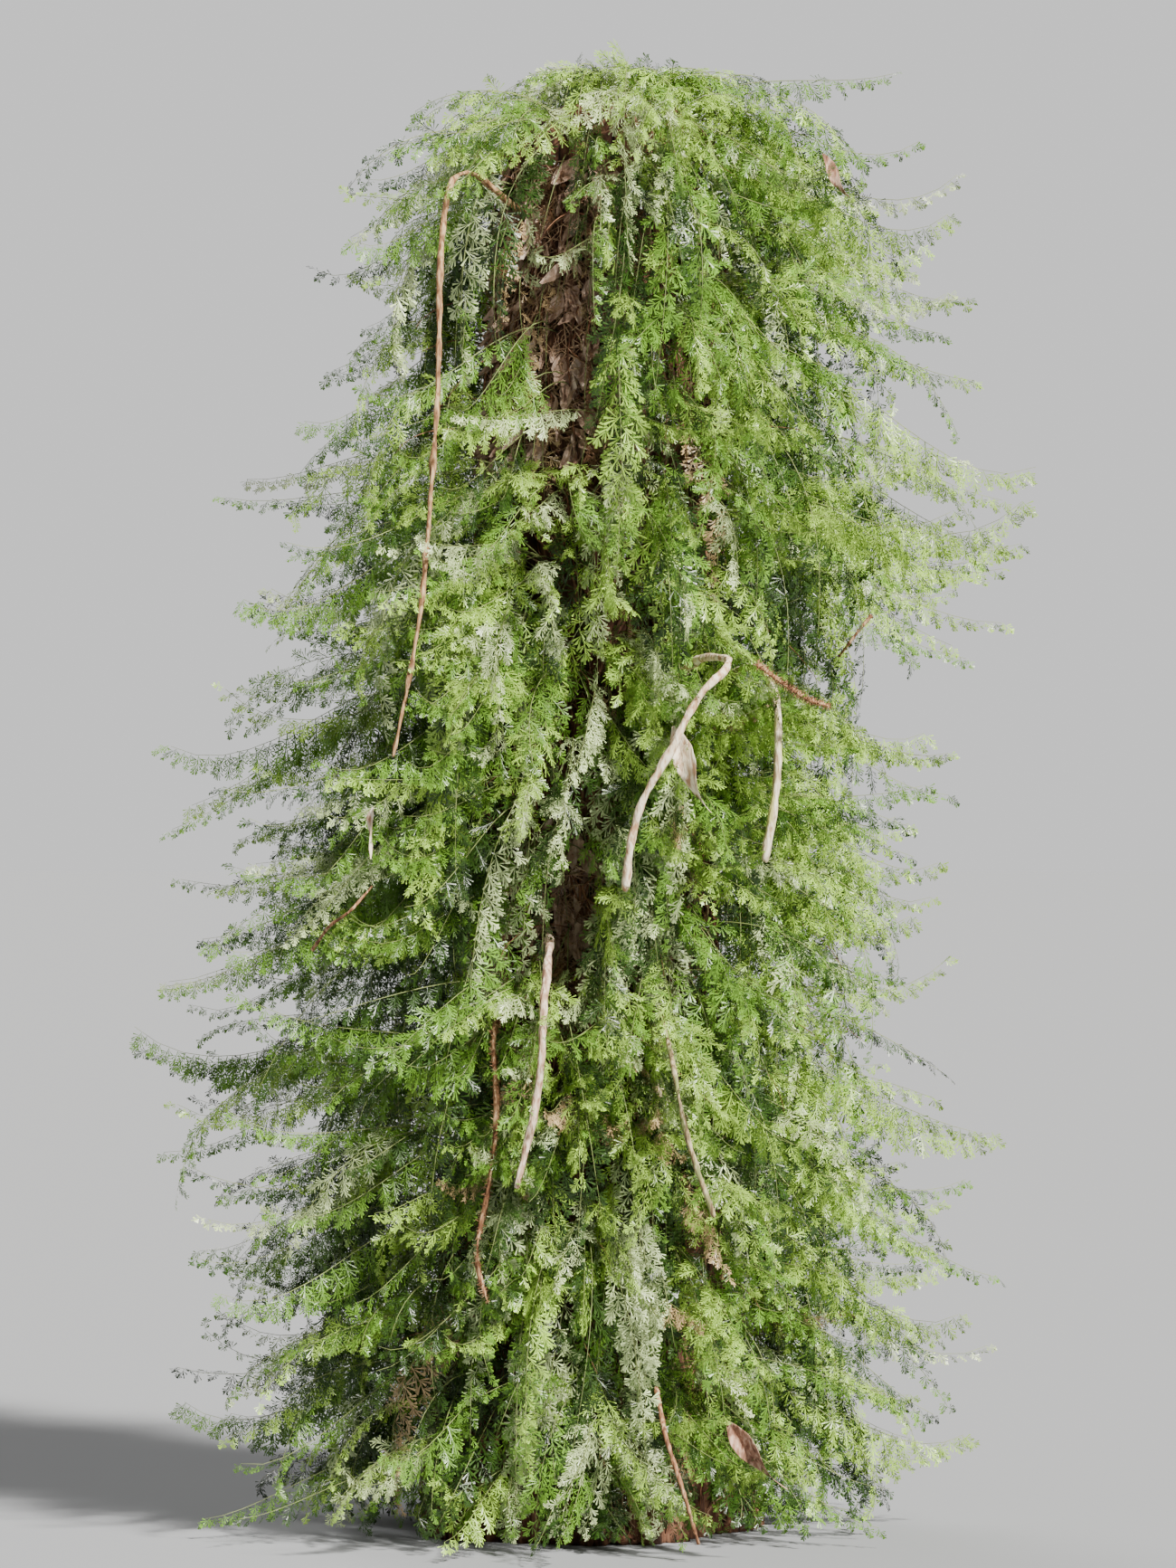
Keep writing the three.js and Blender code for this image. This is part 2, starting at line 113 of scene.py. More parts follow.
# %% [markdown]
# ## Modelling helpers
# Operators act on whatever is selected, and loading leaves the frame's nodes selected. So each step
# starts with nothing selected. The trunk, the stems and the stalks begin as copies of the frame's solids,
# which already have the right place and size. The triangles of such a solid are loose, so the copy is
# first merged into one skin. Moving the skin's points along their normals then gives it relief.

# %% Modelling helpers
MERGE_DISTANCE = 0.00002


def deselect_all():
    if bpy.context.object and bpy.context.object.mode != "OBJECT":
        bpy.ops.object.mode_set(mode="OBJECT")
    bpy.ops.object.select_all(action="DESELECT")


def make_active(piece):
    deselect_all()
    piece.select_set(True)
    bpy.context.view_layer.objects.active = piece


def apply_modifier(piece, kind, **settings):
    """Adds one modifier, sets it and applies it."""
    make_active(piece)
    modifier = piece.modifiers.new(kind.title(), kind)
    for name, value in settings.items():
        setattr(modifier, name, value)
    bpy.ops.object.modifier_apply(modifier=modifier.name)


def link_object(name, mesh):
    """A new object in the scene, around this mesh."""
    piece = bpy.data.objects.new(name, mesh)
    bpy.context.scene.collection.objects.link(piece)
    return piece


def copy_of_node(node, name):
    """A copy of a CAD node's mesh, with its loose triangles merged into one skin."""
    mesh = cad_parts[node].data.copy()
    mesh.materials.clear()
    piece = link_object(name, mesh)
    make_active(piece)
    bpy.ops.object.mode_set(mode="EDIT")
    bpy.ops.mesh.select_all(action="SELECT")
    bpy.ops.mesh.remove_doubles(threshold=MERGE_DISTANCE)
    bpy.ops.object.mode_set(mode="OBJECT")
    return piece


def point_values(piece, what="co"):
    """The places of a piece's points, or with "normal" the way its surface faces at each of them."""
    values = np.empty(3 * len(piece.data.vertices))
    piece.data.vertices.foreach_get(what, values)
    return values.reshape(-1, 3)


def displace(piece, offset_at, upward=1.0):
    """Moves every point along its normal by offset_at(point), and upwards only by this share of it."""
    normals = point_values(piece, "normal") * (1, 1, upward)
    points = point_values(piece)
    offsets = np.array([offset_at(Vector(point)) for point in points])
    points += normals * offsets[:, None]
    piece.data.vertices.foreach_set("co", points.ravel())
    piece.data.update()


# %% [markdown]
# ## The trunk's skin
# On the real plant the trunk is a column of matted, wiry roots with peat between them. The CAD trunk
# has its lean, taper and flared foot, but long, thin triangles that can't take relief. Sculpting could
# give it some by hand. Noise does it evenly and every time the same, so we copy the trunk, turn it into an
# even mesh with a voxel remesh, and push that mesh in and out with noise. The noise is stretched along the
# trunk, because the roots run down it.

# %% Bark relief
BARK_VOXEL = 0.0034
FOOT_HEIGHT = 0.6 * BARK_VOXEL
RELIEF_DEPTH = 0.0042
RELIEF_ACROSS = 95.0
RELIEF_ALONG = 14.0
RELIEF_UPWARD = 0.6
RIDGE_FALLOFF = 0.9
RIDGE_OCTAVES = 3
RIDGE_MEAN = 0.6
LUMP_DEPTH = 0.0045
LUMP_SCALE = 22.0


def relief_at(point):
    """How far the skin stands out at a point: broad lumps with root-like ridges along the trunk."""
    along = Vector((point.x * RELIEF_ACROSS, point.y * RELIEF_ACROSS, point.z * RELIEF_ALONG))
    ridges = 1 - 2 * abs(noise.fractal(along, RIDGE_FALLOFF, 2.0, RIDGE_OCTAVES))
    lumps = noise.noise(point * LUMP_SCALE)
    return RELIEF_DEPTH * (ridges - RIDGE_MEAN) + LUMP_DEPTH * lumps


def make_bark():
    bark = copy_of_node("trunk", "trunk_skin")
    apply_modifier(bark, "REMESH", mode="VOXEL", voxel_size=BARK_VOXEL)
    displace(bark, relief_at, RELIEF_UPWARD)
    for vertex in bark.data.vertices:
        if vertex.co.z < FOOT_HEIGHT:
            vertex.co.z = 0
    make_active(bark)
    bpy.ops.object.shade_smooth()
    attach(bark, "root")
    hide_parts("trunk")
    return bark


bark = make_bark()
print("faces of the trunk's skin:", len(bark.data.polygons))

# %% [markdown]
# ## The skin as a table
# Fronds and fibrous roots all start on this skin, and no leaflet may go into it. So we measure it once.
# The trunk's axis comes from the frame: its rings of points each lie at one height, and the middle of a
# ring is a point of the axis. Rays from outside then find the skin's distance from the axis.

# %% Skin table
SKIN_ROWS = 90
SKIN_COLUMNS = 90
FIRST_ROW_HEIGHT = 0.001
ROW_BELOW_TOP = 0.004
RAY_START = 0.3
RING_THICKNESS = 0.0002
trunk_points = point_values(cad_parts["trunk"])
trunk_heights = trunk_points[:, 2]
ring_heights = np.unique(trunk_heights.round(4))
ring_middles = np.array(
    [trunk_points[abs(trunk_heights - height) < RING_THICKNESS].mean(0) for height in ring_heights]
)
TRUNK_TOP = ring_heights[-1]
SKIN_TOP = TRUNK_TOP - ROW_BELOW_TOP


def trunk_axis(z):
    """The x and y of the trunk's axis at each height."""
    z = np.asarray(z, dtype=float)
    x = np.interp(z, ring_heights, ring_middles[:, 0])
    y = np.interp(z, ring_heights, ring_middles[:, 1])
    return np.stack([x, y], axis=-1)


def measure_skin():
    """The skin's distance from the axis, in rows up the trunk and columns round it."""
    tree = BVHTree.FromObject(bark, bpy.context.evaluated_depsgraph_get())
    table = np.zeros((SKIN_ROWS, SKIN_COLUMNS))
    for row, z in enumerate(np.linspace(FIRST_ROW_HEIGHT, SKIN_TOP, SKIN_ROWS)):
        middle = Vector((*trunk_axis(z), z))
        for column in range(SKIN_COLUMNS):
            angle = 2 * math.pi * column / SKIN_COLUMNS
            away = Vector((math.cos(angle), math.sin(angle), 0))
            hit = tree.ray_cast(middle + away * RAY_START, -away)[0]
            table[row, column] = (hit - middle).length if hit else 0
    return table


skin_table = measure_skin()


def skin_radius(z, azimuth):
    """How far the skin is from the axis, between the table's rays."""
    row = np.clip(np.asarray(z) / SKIN_TOP, 0, 1) * (SKIN_ROWS - 1.001)
    column = (np.asarray(azimuth) / (2 * math.pi)) % 1 * SKIN_COLUMNS
    row_low = row.astype(int)
    column_low = column.astype(int) % SKIN_COLUMNS
    column_high = (column_low + 1) % SKIN_COLUMNS
    across = column % 1
    up = row % 1

    def in_row(number):
        return skin_table[number, column_low] * (1 - across) + skin_table[number, column_high] * across

    return in_row(row_low) * (1 - up) + in_row(row_low + 1) * up


def outward(azimuth):
    """The level direction away from the trunk at this azimuth."""
    azimuth = np.asarray(azimuth, dtype=float)
    return np.stack([np.cos(azimuth), np.sin(azimuth), np.zeros_like(azimuth)], axis=-1)


def on_skin(z, azimuth, above):
    """Points that stand above the skin by this much."""
    z = np.asarray(z, dtype=float)
    axis = trunk_axis(z)
    axis = np.concatenate([axis, z[..., None]], axis=-1)
    reach = skin_radius(z, azimuth) + above
    return axis + outward(azimuth) * reach[..., None]


print("skin from", skin_table.min().round(3), "to", skin_table.max().round(3), "metres from the axis")

# %% [markdown]
# ## Thin tubes
# Roots, twigs, bristles and the midribs of the fronds are all thin tubes along a path. There are thousands
# of them, and a curve object with a bevel for each would be slow. So the first function below makes any
# number at once from arrays: it turns each path's points into rings, joins the rings with triangles, and
# closes both ends. The second turns such arrays into one piece.

# %% Tubes from paths


def unit(vectors):
    return vectors / np.linalg.norm(vectors, axis=-1, keepdims=True)


def tubes(paths, radii, reference, sides):
    """Points and triangles of tubes. paths is (tubes, steps, 3), radii is (tubes, steps)."""
    count, steps = paths.shape[:2]
    along = unit(np.gradient(paths, axis=1))
    side = unit(np.cross(along, reference[:, None, :]))
    up = np.cross(side, along)
    angles = 2 * math.pi * np.arange(sides) / sides
    rings = (
        side[:, :, None, :] * np.cos(angles)[None, None, :, None]
        + up[:, :, None, :] * np.sin(angles)[None, None, :, None]
    )
    points = paths[:, :, None, :] + rings * radii[:, :, None, None]
    here = np.arange(sides)
    after = (here + 1) % sides
    ring = np.arange(steps - 1)[:, None] * sides
    a, b = ring + here, ring + after
    walls = np.concatenate(
        [np.stack([a, a + sides, b], -1), np.stack([b, a + sides, b + sides], -1)]
    ).reshape(-1, 3)
    fan = np.stack([np.zeros(sides - 2, int), here[1:-1], here[2:]], -1)
    faces = np.concatenate([walls, fan, fan[:, ::-1] + (steps - 1) * sides])
    offsets = np.arange(count)[:, None, None] * steps * sides
    return points.reshape(-1, 3), (faces[None] + offsets).reshape(-1, 3)


def piece_from_arrays(name, points, triangles, material, slot, smooth=False):
    """One piece made of many small things, from arrays of points and triangles."""
    mesh = bpy.data.meshes.new(name)
    mesh.from_pydata(points, [], triangles)
    mesh.materials.append(material)
    piece = link_object(name, mesh)
    if smooth:
        mesh.polygons.foreach_set("use_smooth", np.ones(len(triangles), dtype=bool))
    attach(piece, "root")
    return piece


# %% [markdown]
# ## Material helpers
# Every finish here is made of nodes. Most of them need the same beginning: noise on Object coordinates,
# because each piece keeps its place in its mesh, so that the pattern runs on from piece to piece. The
# class below holds a material while its nodes are put together, and each finish is then only a few lines.

# %% Material helpers


class Finish:
    """A material under way. Its noise is stretched along the trunk where squeeze is below one."""

    def __init__(self, name, roughness, specular, squeeze=1.0):
        self.material = bpy.data.materials.new(name)
        self.material.use_nodes = True
        self.nodes = self.material.node_tree.nodes
        self.links = self.material.node_tree.links
        self.shader = self.nodes["Principled BSDF"]
        self.shader.inputs["Roughness"].default_value = roughness
        self.shader.inputs["Specular IOR Level"].default_value = specular
        coordinates = self.nodes.new("ShaderNodeTexCoord")
        self.mapping = self.nodes.new("ShaderNodeMapping")
        self.mapping.inputs["Scale"].default_value = (1, 1, squeeze)
        self.links.new(coordinates.outputs["Object"], self.mapping.inputs["Vector"])

    def noise(self, scale, detail, distortion=0.0):
        texture = self.nodes.new("ShaderNodeTexNoise")
        texture.inputs["Scale"].default_value = scale
        texture.inputs["Detail"].default_value = detail
        texture.inputs["Distortion"].default_value = distortion
        self.links.new(self.mapping.outputs["Vector"], texture.inputs["Vector"])
        return texture.outputs["Fac"]

    def ramp(self, factor, stops):
        """A Color Ramp with these (position, colour) stops."""
        ramp = self.nodes.new("ShaderNodeValToRGB")
        elements = ramp.color_ramp.elements
        while len(elements) < len(stops):
            elements.new(0.5)
        for element, (position, colour) in zip(elements, stops):
            element.position = position
            element.color = (*colour, 1)
        self.links.new(factor, ramp.inputs["Fac"])
        return ramp.outputs["Color"]

    def colour(self, socket):
        self.links.new(socket, self.shader.inputs["Base Color"])

    def bump(self, height, strength, distance):
        bump = self.nodes.new("ShaderNodeBump")
        bump.inputs["Strength"].default_value = strength
        bump.inputs["Distance"].default_value = distance
        self.links.new(height, bump.inputs["Height"])
        self.links.new(bump.outputs["Normal"], self.shader.inputs["Normal"])


# %% [markdown]
# ## Finish of trunk and roots
# The trunk is dark red-brown, with lighter tan where a root has lost its skin, and with painted shade
# near black in the gaps. The pattern is stretched along the trunk in the same way as its relief. Stretched
# noise is enough here: more than a thousand modelled roots lie over it, and it only has to carry on between
# them.

# %% Trunk and root finishes


def fibre_material(name, dark, middle, light, roughness=0.92):
    """Fine strands along the trunk: dark with painted shade in their gaps, light where they stand out."""
    finish = Finish(name, roughness, specular=0.25, squeeze=0.16)
    strands = finish.noise(210, detail=6, distortion=0.6)
    # The dark stop is painted shade. It lies where the bump is lowest, in the gaps between the strands.
    finish.colour(finish.ramp(strands, [(0.32, dark), (0.52, middle), (0.74, light)]))
    finish.bump(strands, strength=0.8, distance=0.0015)
    return finish.material


bark_material = fibre_material(
    "matted_root_bark", (0.018, 0.009, 0.006), (0.1, 0.045, 0.025), (0.3, 0.165, 0.095)
)
bark.data.materials.append(bark_material)
root_materials = {
    "dark": fibre_material("dark_root", (0.045, 0.02, 0.012), (0.17, 0.075, 0.04), (0.34, 0.17, 0.09)),
    "tan": fibre_material("tan_root", (0.18, 0.1, 0.06), (0.42, 0.27, 0.16), (0.62, 0.47, 0.33)),
}
print("finishes:", bark_material.name, *[m.name for m in root_materials.values()])

# %% [markdown]
# ## Matted roots
# Hundreds of wiry roots run down the trunk. Relief alone can't show them, because they cross and lift
# off each other. So each one is a tube of its own. Its path wanders a little round the trunk as it goes
# down, and lies on the skin. All the dark ones are one piece, and all the tan ones another.

# %% Matted roots
SEED = 11
ROOT_STEPS = 14
ROOT_SIDES = 3
ROOT_SETS = {
    "dark": {"count": 760, "thickness": 0.0012, "longest": 0.15},
    "tan": {"count": 420, "thickness": 0.0009, "longest": 0.11},
}
LOWEST_START = 0.05
START_BELOW_TOP = 0.03
LOWEST_END = 0.004
ROOT_DRIFT = 0.3
ROOT_WAVES = (0.02, 0.11)
ROOT_TURNS = (0.8, 2.6)
ROOT_LIFT = 0.0042
ROOT_REST = 0.0002


def matted_roots(name, material, rng, count, thickness, longest):
    """Roots that start at any height, run down the skin, and are thinnest at their lower ends."""
    top = rng.uniform(LOWEST_START, TRUNK_TOP - START_BELOW_TOP, count)
    length = np.minimum(rng.uniform(0.3, 1.0, count) * longest, top - LOWEST_END)
    share = np.linspace(0, 1, ROOT_STEPS)
    z = top[:, None] - length[:, None] * share
    start = rng.uniform(0, 2 * math.pi, count)
    drift = rng.normal(0, ROOT_DRIFT, count)
    wave = rng.uniform(*ROOT_WAVES, count)
    phase = rng.uniform(0, 2 * math.pi, count)
    turns = rng.uniform(*ROOT_TURNS, count)
    azimuth = (
        start[:, None]
        + drift[:, None] * share
        + wave[:, None] * np.sin(2 * math.pi * turns[:, None] * share + phase[:, None])
    )
    lift = ROOT_LIFT * np.sin(math.pi * share) * rng.uniform(0.1, 1.6, (count, 1)) + ROOT_REST
    paths = on_skin(z, azimuth, lift)
    radii = rng.uniform(0.45, 1.0, (count, 1)) * thickness * (1 - 0.75 * share**3)
    points, triangles = tubes(paths, radii, outward(start), ROOT_SIDES)
    return piece_from_arrays(name, points, triangles, material, "trunk", smooth=True)


rng = np.random.default_rng(SEED)
long_roots = [
    matted_roots(f"matted_roots_{tone}", root_materials[tone], rng, **sizes)
    for tone, sizes in ROOT_SETS.items()
]
print("triangles of roots:", sum(len(piece.data.polygons) for piece in long_roots))

# %% [markdown]
# ## Where the trunk shows
# In two places the photograph looks between the fronds at the trunk itself. Each is given here as a pixel
# with a width and a height in metres, and the fronds are thinned there later. The roots in these places
# are frayed: short, thin ends cross each other and stand off the skin. They are tubes like the long roots,
# but all of them are placed here, because foliage hides the rest of the trunk.

# %% Frayed roots
BARE_PATCHES = [
    {"column": 590, "row": 305, "wide": 0.040, "high": 0.078, "share": 0.7},
    {"column": 632, "row": 1000, "wide": 0.030, "high": 0.042, "share": 0.3},
]
ROUND_PATCH = {"wide": 1.3, "high": 1.15}
FRAYED_ROOTS = 900
FRAY_STEPS = 8
FRAY_LENGTHS = (0.012, 0.045)
FRAY_LEAN = 0.8
FRAY_REST = 0.0008
FRAY_LIFTS = (0.001, 0.009)
FRAY_RADII = (0.0003, 0.0008)
USUAL_RADIUS = 0.05


def spots_in_patches(count, rng):
    """Heights and azimuths by chance in the bare patches and a little round them."""
    shares = [patch["share"] for patch in BARE_PATCHES]
    patches = [BARE_PATCHES[number] for number in rng.choice(len(shares), count, p=shares)]
    middles = np.array([photo_point(patch["column"], patch["row"]) for patch in patches])
    up = ROUND_PATCH["high"] * rng.uniform(-1, 1, count) * [patch["high"] for patch in patches]
    aside = ROUND_PATCH["wide"] * rng.uniform(-1, 1, count) * [patch["wide"] for patch in patches]
    z = middles[:, 2] + up
    x = middles[:, 0] + aside
    across = (x - trunk_axis(z)[:, 0]) / skin_radius(z, np.full(count, -math.pi / 2))
    return z, -np.arccos(np.clip(across, -0.95, 0.95))


def frayed_roots(name, count, material, rng):
    """Short, thin root ends that hang from the skin at any slant and stand off it at their tips."""
    z, azimuth = spots_in_patches(count, rng)
    length = rng.uniform(*FRAY_LENGTHS, (count, 1))
    lean = rng.normal(0, FRAY_LEAN, (count, 1))
    share = np.linspace(0, 1, FRAY_STEPS)
    wave = 0.1 * np.sin(5 * share + rng.uniform(0, 6, (count, 1)))
    heights = z[:, None] - length * share * np.cos(lean)
    turned = azimuth[:, None] + length * share * np.sin(lean) / USUAL_RADIUS + wave
    lift = FRAY_REST + rng.uniform(*FRAY_LIFTS, (count, 1)) * share**1.5
    paths = on_skin(heights, turned, lift)
    radii = rng.uniform(*FRAY_RADII, (count, 1)) * (1 - 0.6 * share)
    points, triangles = tubes(paths, radii, outward(azimuth), ROOT_SIDES)
    return piece_from_arrays(name, points, triangles, material, "trunk", smooth=True)


frayed = frayed_roots("frayed_roots", FRAYED_ROOTS, root_materials["tan"], rng)
print("triangles of frayed roots:", len(frayed.data.polygons))

# %% [markdown]
# ## Torn flakes
# Between the frayed roots hang torn flakes of old root skin. They catch the light, and make the bare
# trunk look rough from a distance. One flake is a strip of eight small quads, narrow at both ends, with
# ragged edges, that curls away from the trunk. The quads of all flakes come from one set of arrays.

# %% Torn flakes
FLAKES = 420
FLAKE_ROWS = 5
FLAKE_COLUMNS = 3
FLAKE_LIFT = 0.0012
FLAKE_LENGTHS = (0.006, 0.024)
FLAKE_WIDTHS = (0.2, 0.45)
FLAKE_LEAN = 0.55
FLAKE_CURLS = (0.1, 0.7)


def flake_faces():
    """The triangles of one flake's grid of points."""
    row_starts = np.arange(FLAKE_ROWS - 1)[:, None] * FLAKE_COLUMNS
    corner = (row_starts + np.arange(FLAKE_COLUMNS - 1)).ravel()
    below = corner + FLAKE_COLUMNS
    left_halves = np.stack([corner, below, corner + 1], -1)
    right_halves = np.stack([corner + 1, below, below + 1], -1)
    return np.concatenate([left_halves, right_halves])


def torn_flakes(name, count, material, rng):
    """Strips that hang from the skin: u runs down each strip, v across it."""
    z, azimuth = spots_in_patches(count, rng)
    roots = on_skin(z, azimuth, FLAKE_LIFT)
    length = rng.uniform(*FLAKE_LENGTHS, count)
    width = length * rng.uniform(*FLAKE_WIDTHS, count)
    lean = rng.normal(0, FLAKE_LEAN, count)[:, None]
    curl = rng.uniform(*FLAKE_CURLS, count)
    side = outward(azimuth + math.pi / 2)
    down = np.array([0, 0, -1.0]) * np.cos(lean) + side * np.sin(lean)
    across = side * np.cos(lean) + np.array([0, 0, 1.0]) * np.sin(lean)
    u = np.linspace(0, 1, FLAKE_ROWS)[:, None]
    v = np.linspace(-0.5, 0.5, FLAKE_COLUMNS)[None]
    ragged = rng.uniform(0.65, 1.35, (count, FLAKE_ROWS, FLAKE_COLUMNS))
    outline = (0.2 + np.sin(math.pi * u**0.8)) * v * ragged
    out = curl[:, None, None] * u**2 + 0.25 * abs(v)
    points = (
        roots[:, None, None]
        + down[:, None, None] * (length[:, None, None] * u)[..., None]
        + across[:, None, None] * (width[:, None, None] * outline)[..., None]
        + outward(azimuth)[:, None, None] * (length[:, None, None] * out)[..., None]
    )
    offsets = (np.arange(count) * FLAKE_ROWS * FLAKE_COLUMNS)[:, None, None]
    triangles = (flake_faces()[None] + offsets).reshape(-1, 3)
    return piece_from_arrays(name, points.reshape(-1, 3), triangles, material, "trunk")


flake_material = fibre_material("torn_root_skin", (0.2, 0.11, 0.07), (0.5, 0.34, 0.25), (0.74, 0.6, 0.5))
flakes = torn_flakes("torn_flakes", FLAKES, flake_material, rng)
print("triangles of flakes:", len(flakes.data.polygons))

# %% [markdown]
# ## Creeping stems
# The fern's own stems are wiry and brown. They creep up the trunk, and the fronds grow from them. The
# frame has each stem as a tube with few sides on the trunk's skin. Subdivision rounds a copy of it, and
# slow noise gives it the swellings that a living stem has, with no need to draw its path again.

# %% Creeping stems
STEM_NODES = [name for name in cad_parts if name.startswith("climbing_stem")]
STEM_SWELLINGS = {"knots": 60, "depth": 0.0009}


def rounded_copy(node, name, material, slot, knots, depth):
    """A limb of the frame made round, with swellings along it."""

    def swelling(point):
        return depth * (noise.noise(point * knots) + 0.5 * noise.noise(point * knots * 4))

    limb = copy_of_node(node, name)
    apply_modifier(limb, "SUBSURF", levels=2, render_levels=2)
    displace(limb, swelling)
    make_active(limb)
    bpy.ops.object.shade_smooth()
    limb.data.materials.append(material)
    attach(limb, "root")
    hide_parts(node)
    return limb


stem_material = fibre_material(
    "creeping_stem", (0.05, 0.025, 0.012), (0.13, 0.07, 0.035), (0.25, 0.16, 0.09), roughness=0.7
)
stems = [
    rounded_copy(node, node.replace("climbing", "creeping"), stem_material, "stem", **STEM_SWELLINGS)
    for node in STEM_NODES
]
print("stems:", [stem.name for stem in stems])

# %% [markdown]
# ## Dead stalks
# Leaf stalks that fell from above have caught in the foliage and dried there. Each one is a limb of the
# frame, so it is rounded in the same way as the stems. Closer and deeper swellings give it the knots and
# uneven thickness of dry plant matter. The pale ones are bleached nearly white, one carries crusts of
# lichen, and one a little moss. The crusts are a second noise that lays its own colour over the streaks.

# %% Dead stalk finishes
# The first colour of each look is painted shade for the creases, the second is the body, and the third the
# bleached ridges.
STALK_LOOKS = {
    "dead_stalk_long": ("brown_stalk", (0.14, 0.065, 0.03), (0.33, 0.18, 0.08), (0.52, 0.35, 0.19)),
    "dead_stalk_hooked": ("bleached_stalk", (0.38, 0.21, 0.11), (0.68, 0.53, 0.35), (0.84, 0.75, 0.58)),
    "dead_stalk_right": ("lichened_stalk", (0.3, 0.2, 0.11), (0.54, 0.45, 0.29), (0.74, 0.66, 0.49)),
    "dead_stalk_pale": ("pale_stalk", (0.26, 0.14, 0.09), (0.5, 0.34, 0.23), (0.7, 0.58, 0.45)),
    "dead_stalk_brown": ("rough_stalk", (0.1, 0.04, 0.02), (0.28, 0.13, 0.06), (0.5, 0.32, 0.18)),
    "dead_stalk_low": ("mossy_stalk", (0.12, 0.08, 0.04), (0.32, 0.24, 0.12), (0.5, 0.42, 0.26)),
}
CRUSTS = {"dead_stalk_right": (0.5, 0.47, 0.18), "dead_stalk_low": (0.2, 0.22, 0.08)}
STALK_SWELLINGS = {"knots": 90, "depth": 0.0011}


def over_crust(finish, colour, crust_colour):
    """The colour with patches of crust over it, such as lichen or moss."""
    crust = finish.noise(170, detail=3)
    mask = finish.ramp(crust, [(0.52, (0, 0, 0)), (0.6, (1, 1, 1))])
    mix = finish.nodes.new("ShaderNodeMix")
    mix.data_type = "RGBA"
    mix.inputs["B"].default_value = (*crust_colour, 1)
    finish.links.new(mask, mix.inputs["Factor"])
    finish.links.new(colour, mix.inputs["A"])
    return mix.outputs["Result"]


def stalk_material(name, shade, body, bleached, crust_colour=None):
    """Dry, streaked plant matter: dark with painted shade in its creases, and bleached on its ridges."""
    finish = Finish(name, roughness=0.75, specular=0.3, squeeze=0.3)
    streaks = finish.noise(420, detail=7, distortion=0.5)
    # The first stop paints shade into the creases, where the bump is lowest.
    colour = finish.ramp(streaks, [(0.36, shade), (0.5, body), (0.63, bleached)])
    if crust_colour:
        colour = over_crust(finish, colour, crust_colour)
    finish.colour(colour)
    finish.bump(streaks, strength=0.9, distance=0.0012)
    return finish.material


stalk_materials = {node: stalk_material(*look, CRUSTS.get(node)) for node, look in STALK_LOOKS.items()}
stalks = [
    rounded_copy(node, node.replace("dead", "dry"), material, "dead_stalk", **STALK_SWELLINGS)
    for node, material in stalk_materials.items()
]
print("stalks:", [stalk.name for stalk in stalks])

# %% [markdown]
# ## One dry scrap
# A few papery scraps of dead leaf hang in the foliage, the largest on the hooked stalk. One scrap is
# modelled from a grid: its rows are narrowed towards a long tail and rolled, more and more towards the
# tip. Folding it along the middle and curling it back gives it the look of a dried leaf, and Solidify
# the thickness of paper. A cloth simulation would crumple it too, but not the same way in every run.

# %% One dry scrap
SCRAP_ROWS = 13
SCRAP_LENGTH = 0.054
SCRAP_WIDTH = 0.0125
SCRAP_THICKNESS = 0.0003
SCRAP_ROLL = 2.3
SCRAP_FOLD = 0.75
SCRAP_RAGGED = {"scale": 230, "width": 0.35, "height": 0.0018}
SCRAP_TAIL = {"aside": 0.009, "back": 0.014, "dip": 0.012}


def select_row(piece, row):
    """Selects the points of one row of the scrap's grid."""
    bpy.ops.mesh.select_all(action="DESELECT")
    bpy.ops.object.mode_set(mode="OBJECT")
    level = SCRAP_LENGTH * (0.5 - row / (SCRAP_ROWS - 1))
    for vertex in piece.data.vertices:
        vertex.select = abs(vertex.co.y - level) < SCRAP_LENGTH / (4 * SCRAP_ROWS)
    bpy.ops.object.mode_set(mode="EDIT")


def crumple(scrap):
    """Folds the scrap along its middle, curls it back, and makes it uneven."""
    for vertex in scrap.data.vertices:
        along = 0.5 - vertex.co.y / SCRAP_LENGTH
        ragged = noise.noise(vertex.co * SCRAP_RAGGED["scale"])
        vertex.co.x *= 1 + SCRAP_RAGGED["width"] * ragged
        vertex.co.z += SCRAP_FOLD * abs(vertex.co.x) + SCRAP_RAGGED["height"] * ragged
        vertex.co.y -= SCRAP_LENGTH / 2
        vertex.co.x += SCRAP_TAIL["aside"] * along**3
        vertex.co.z += SCRAP_TAIL["back"] * along**2 - SCRAP_TAIL["dip"] * along


def make_scrap(material):
    deselect_all()
    bpy.ops.mesh.primitive_grid_add(x_subdivisions=6, y_subdivisions=SCRAP_ROWS - 1, size=1)
    scrap = bpy.context.object
    scrap.name = "dry_scrap_1"
    scrap.scale = (SCRAP_WIDTH, SCRAP_LENGTH, 1)
    bpy.ops.object.transform_apply(location=False, rotation=False, scale=True)
    bpy.ops.object.mode_set(mode="EDIT")
    bpy.ops.mesh.select_mode(type="VERT")
    for row in range(SCRAP_ROWS):
        share = row / (SCRAP_ROWS - 1)
        width = 0.1 + math.sin(math.pi * share**0.75) ** 1.3 * (1.15 - 0.5 * share)
        select_row(scrap, row)
        bpy.ops.transform.resize(value=(width, 1, 1))
        roll = SCRAP_ROLL * share**1.5
        bpy.ops.transform.rotate(value=roll, orient_axis="Y", center_override=(0, 0, 0))
    bpy.ops.object.mode_set(mode="OBJECT")
    crumple(scrap)
    apply_modifier(scrap, "SOLIDIFY", thickness=SCRAP_THICKNESS)
    apply_modifier(scrap, "SUBSURF", levels=1, render_levels=1)
    make_active(scrap)
    bpy.ops.object.shade_smooth()
    scrap.data.materials.append(material)
    return scrap
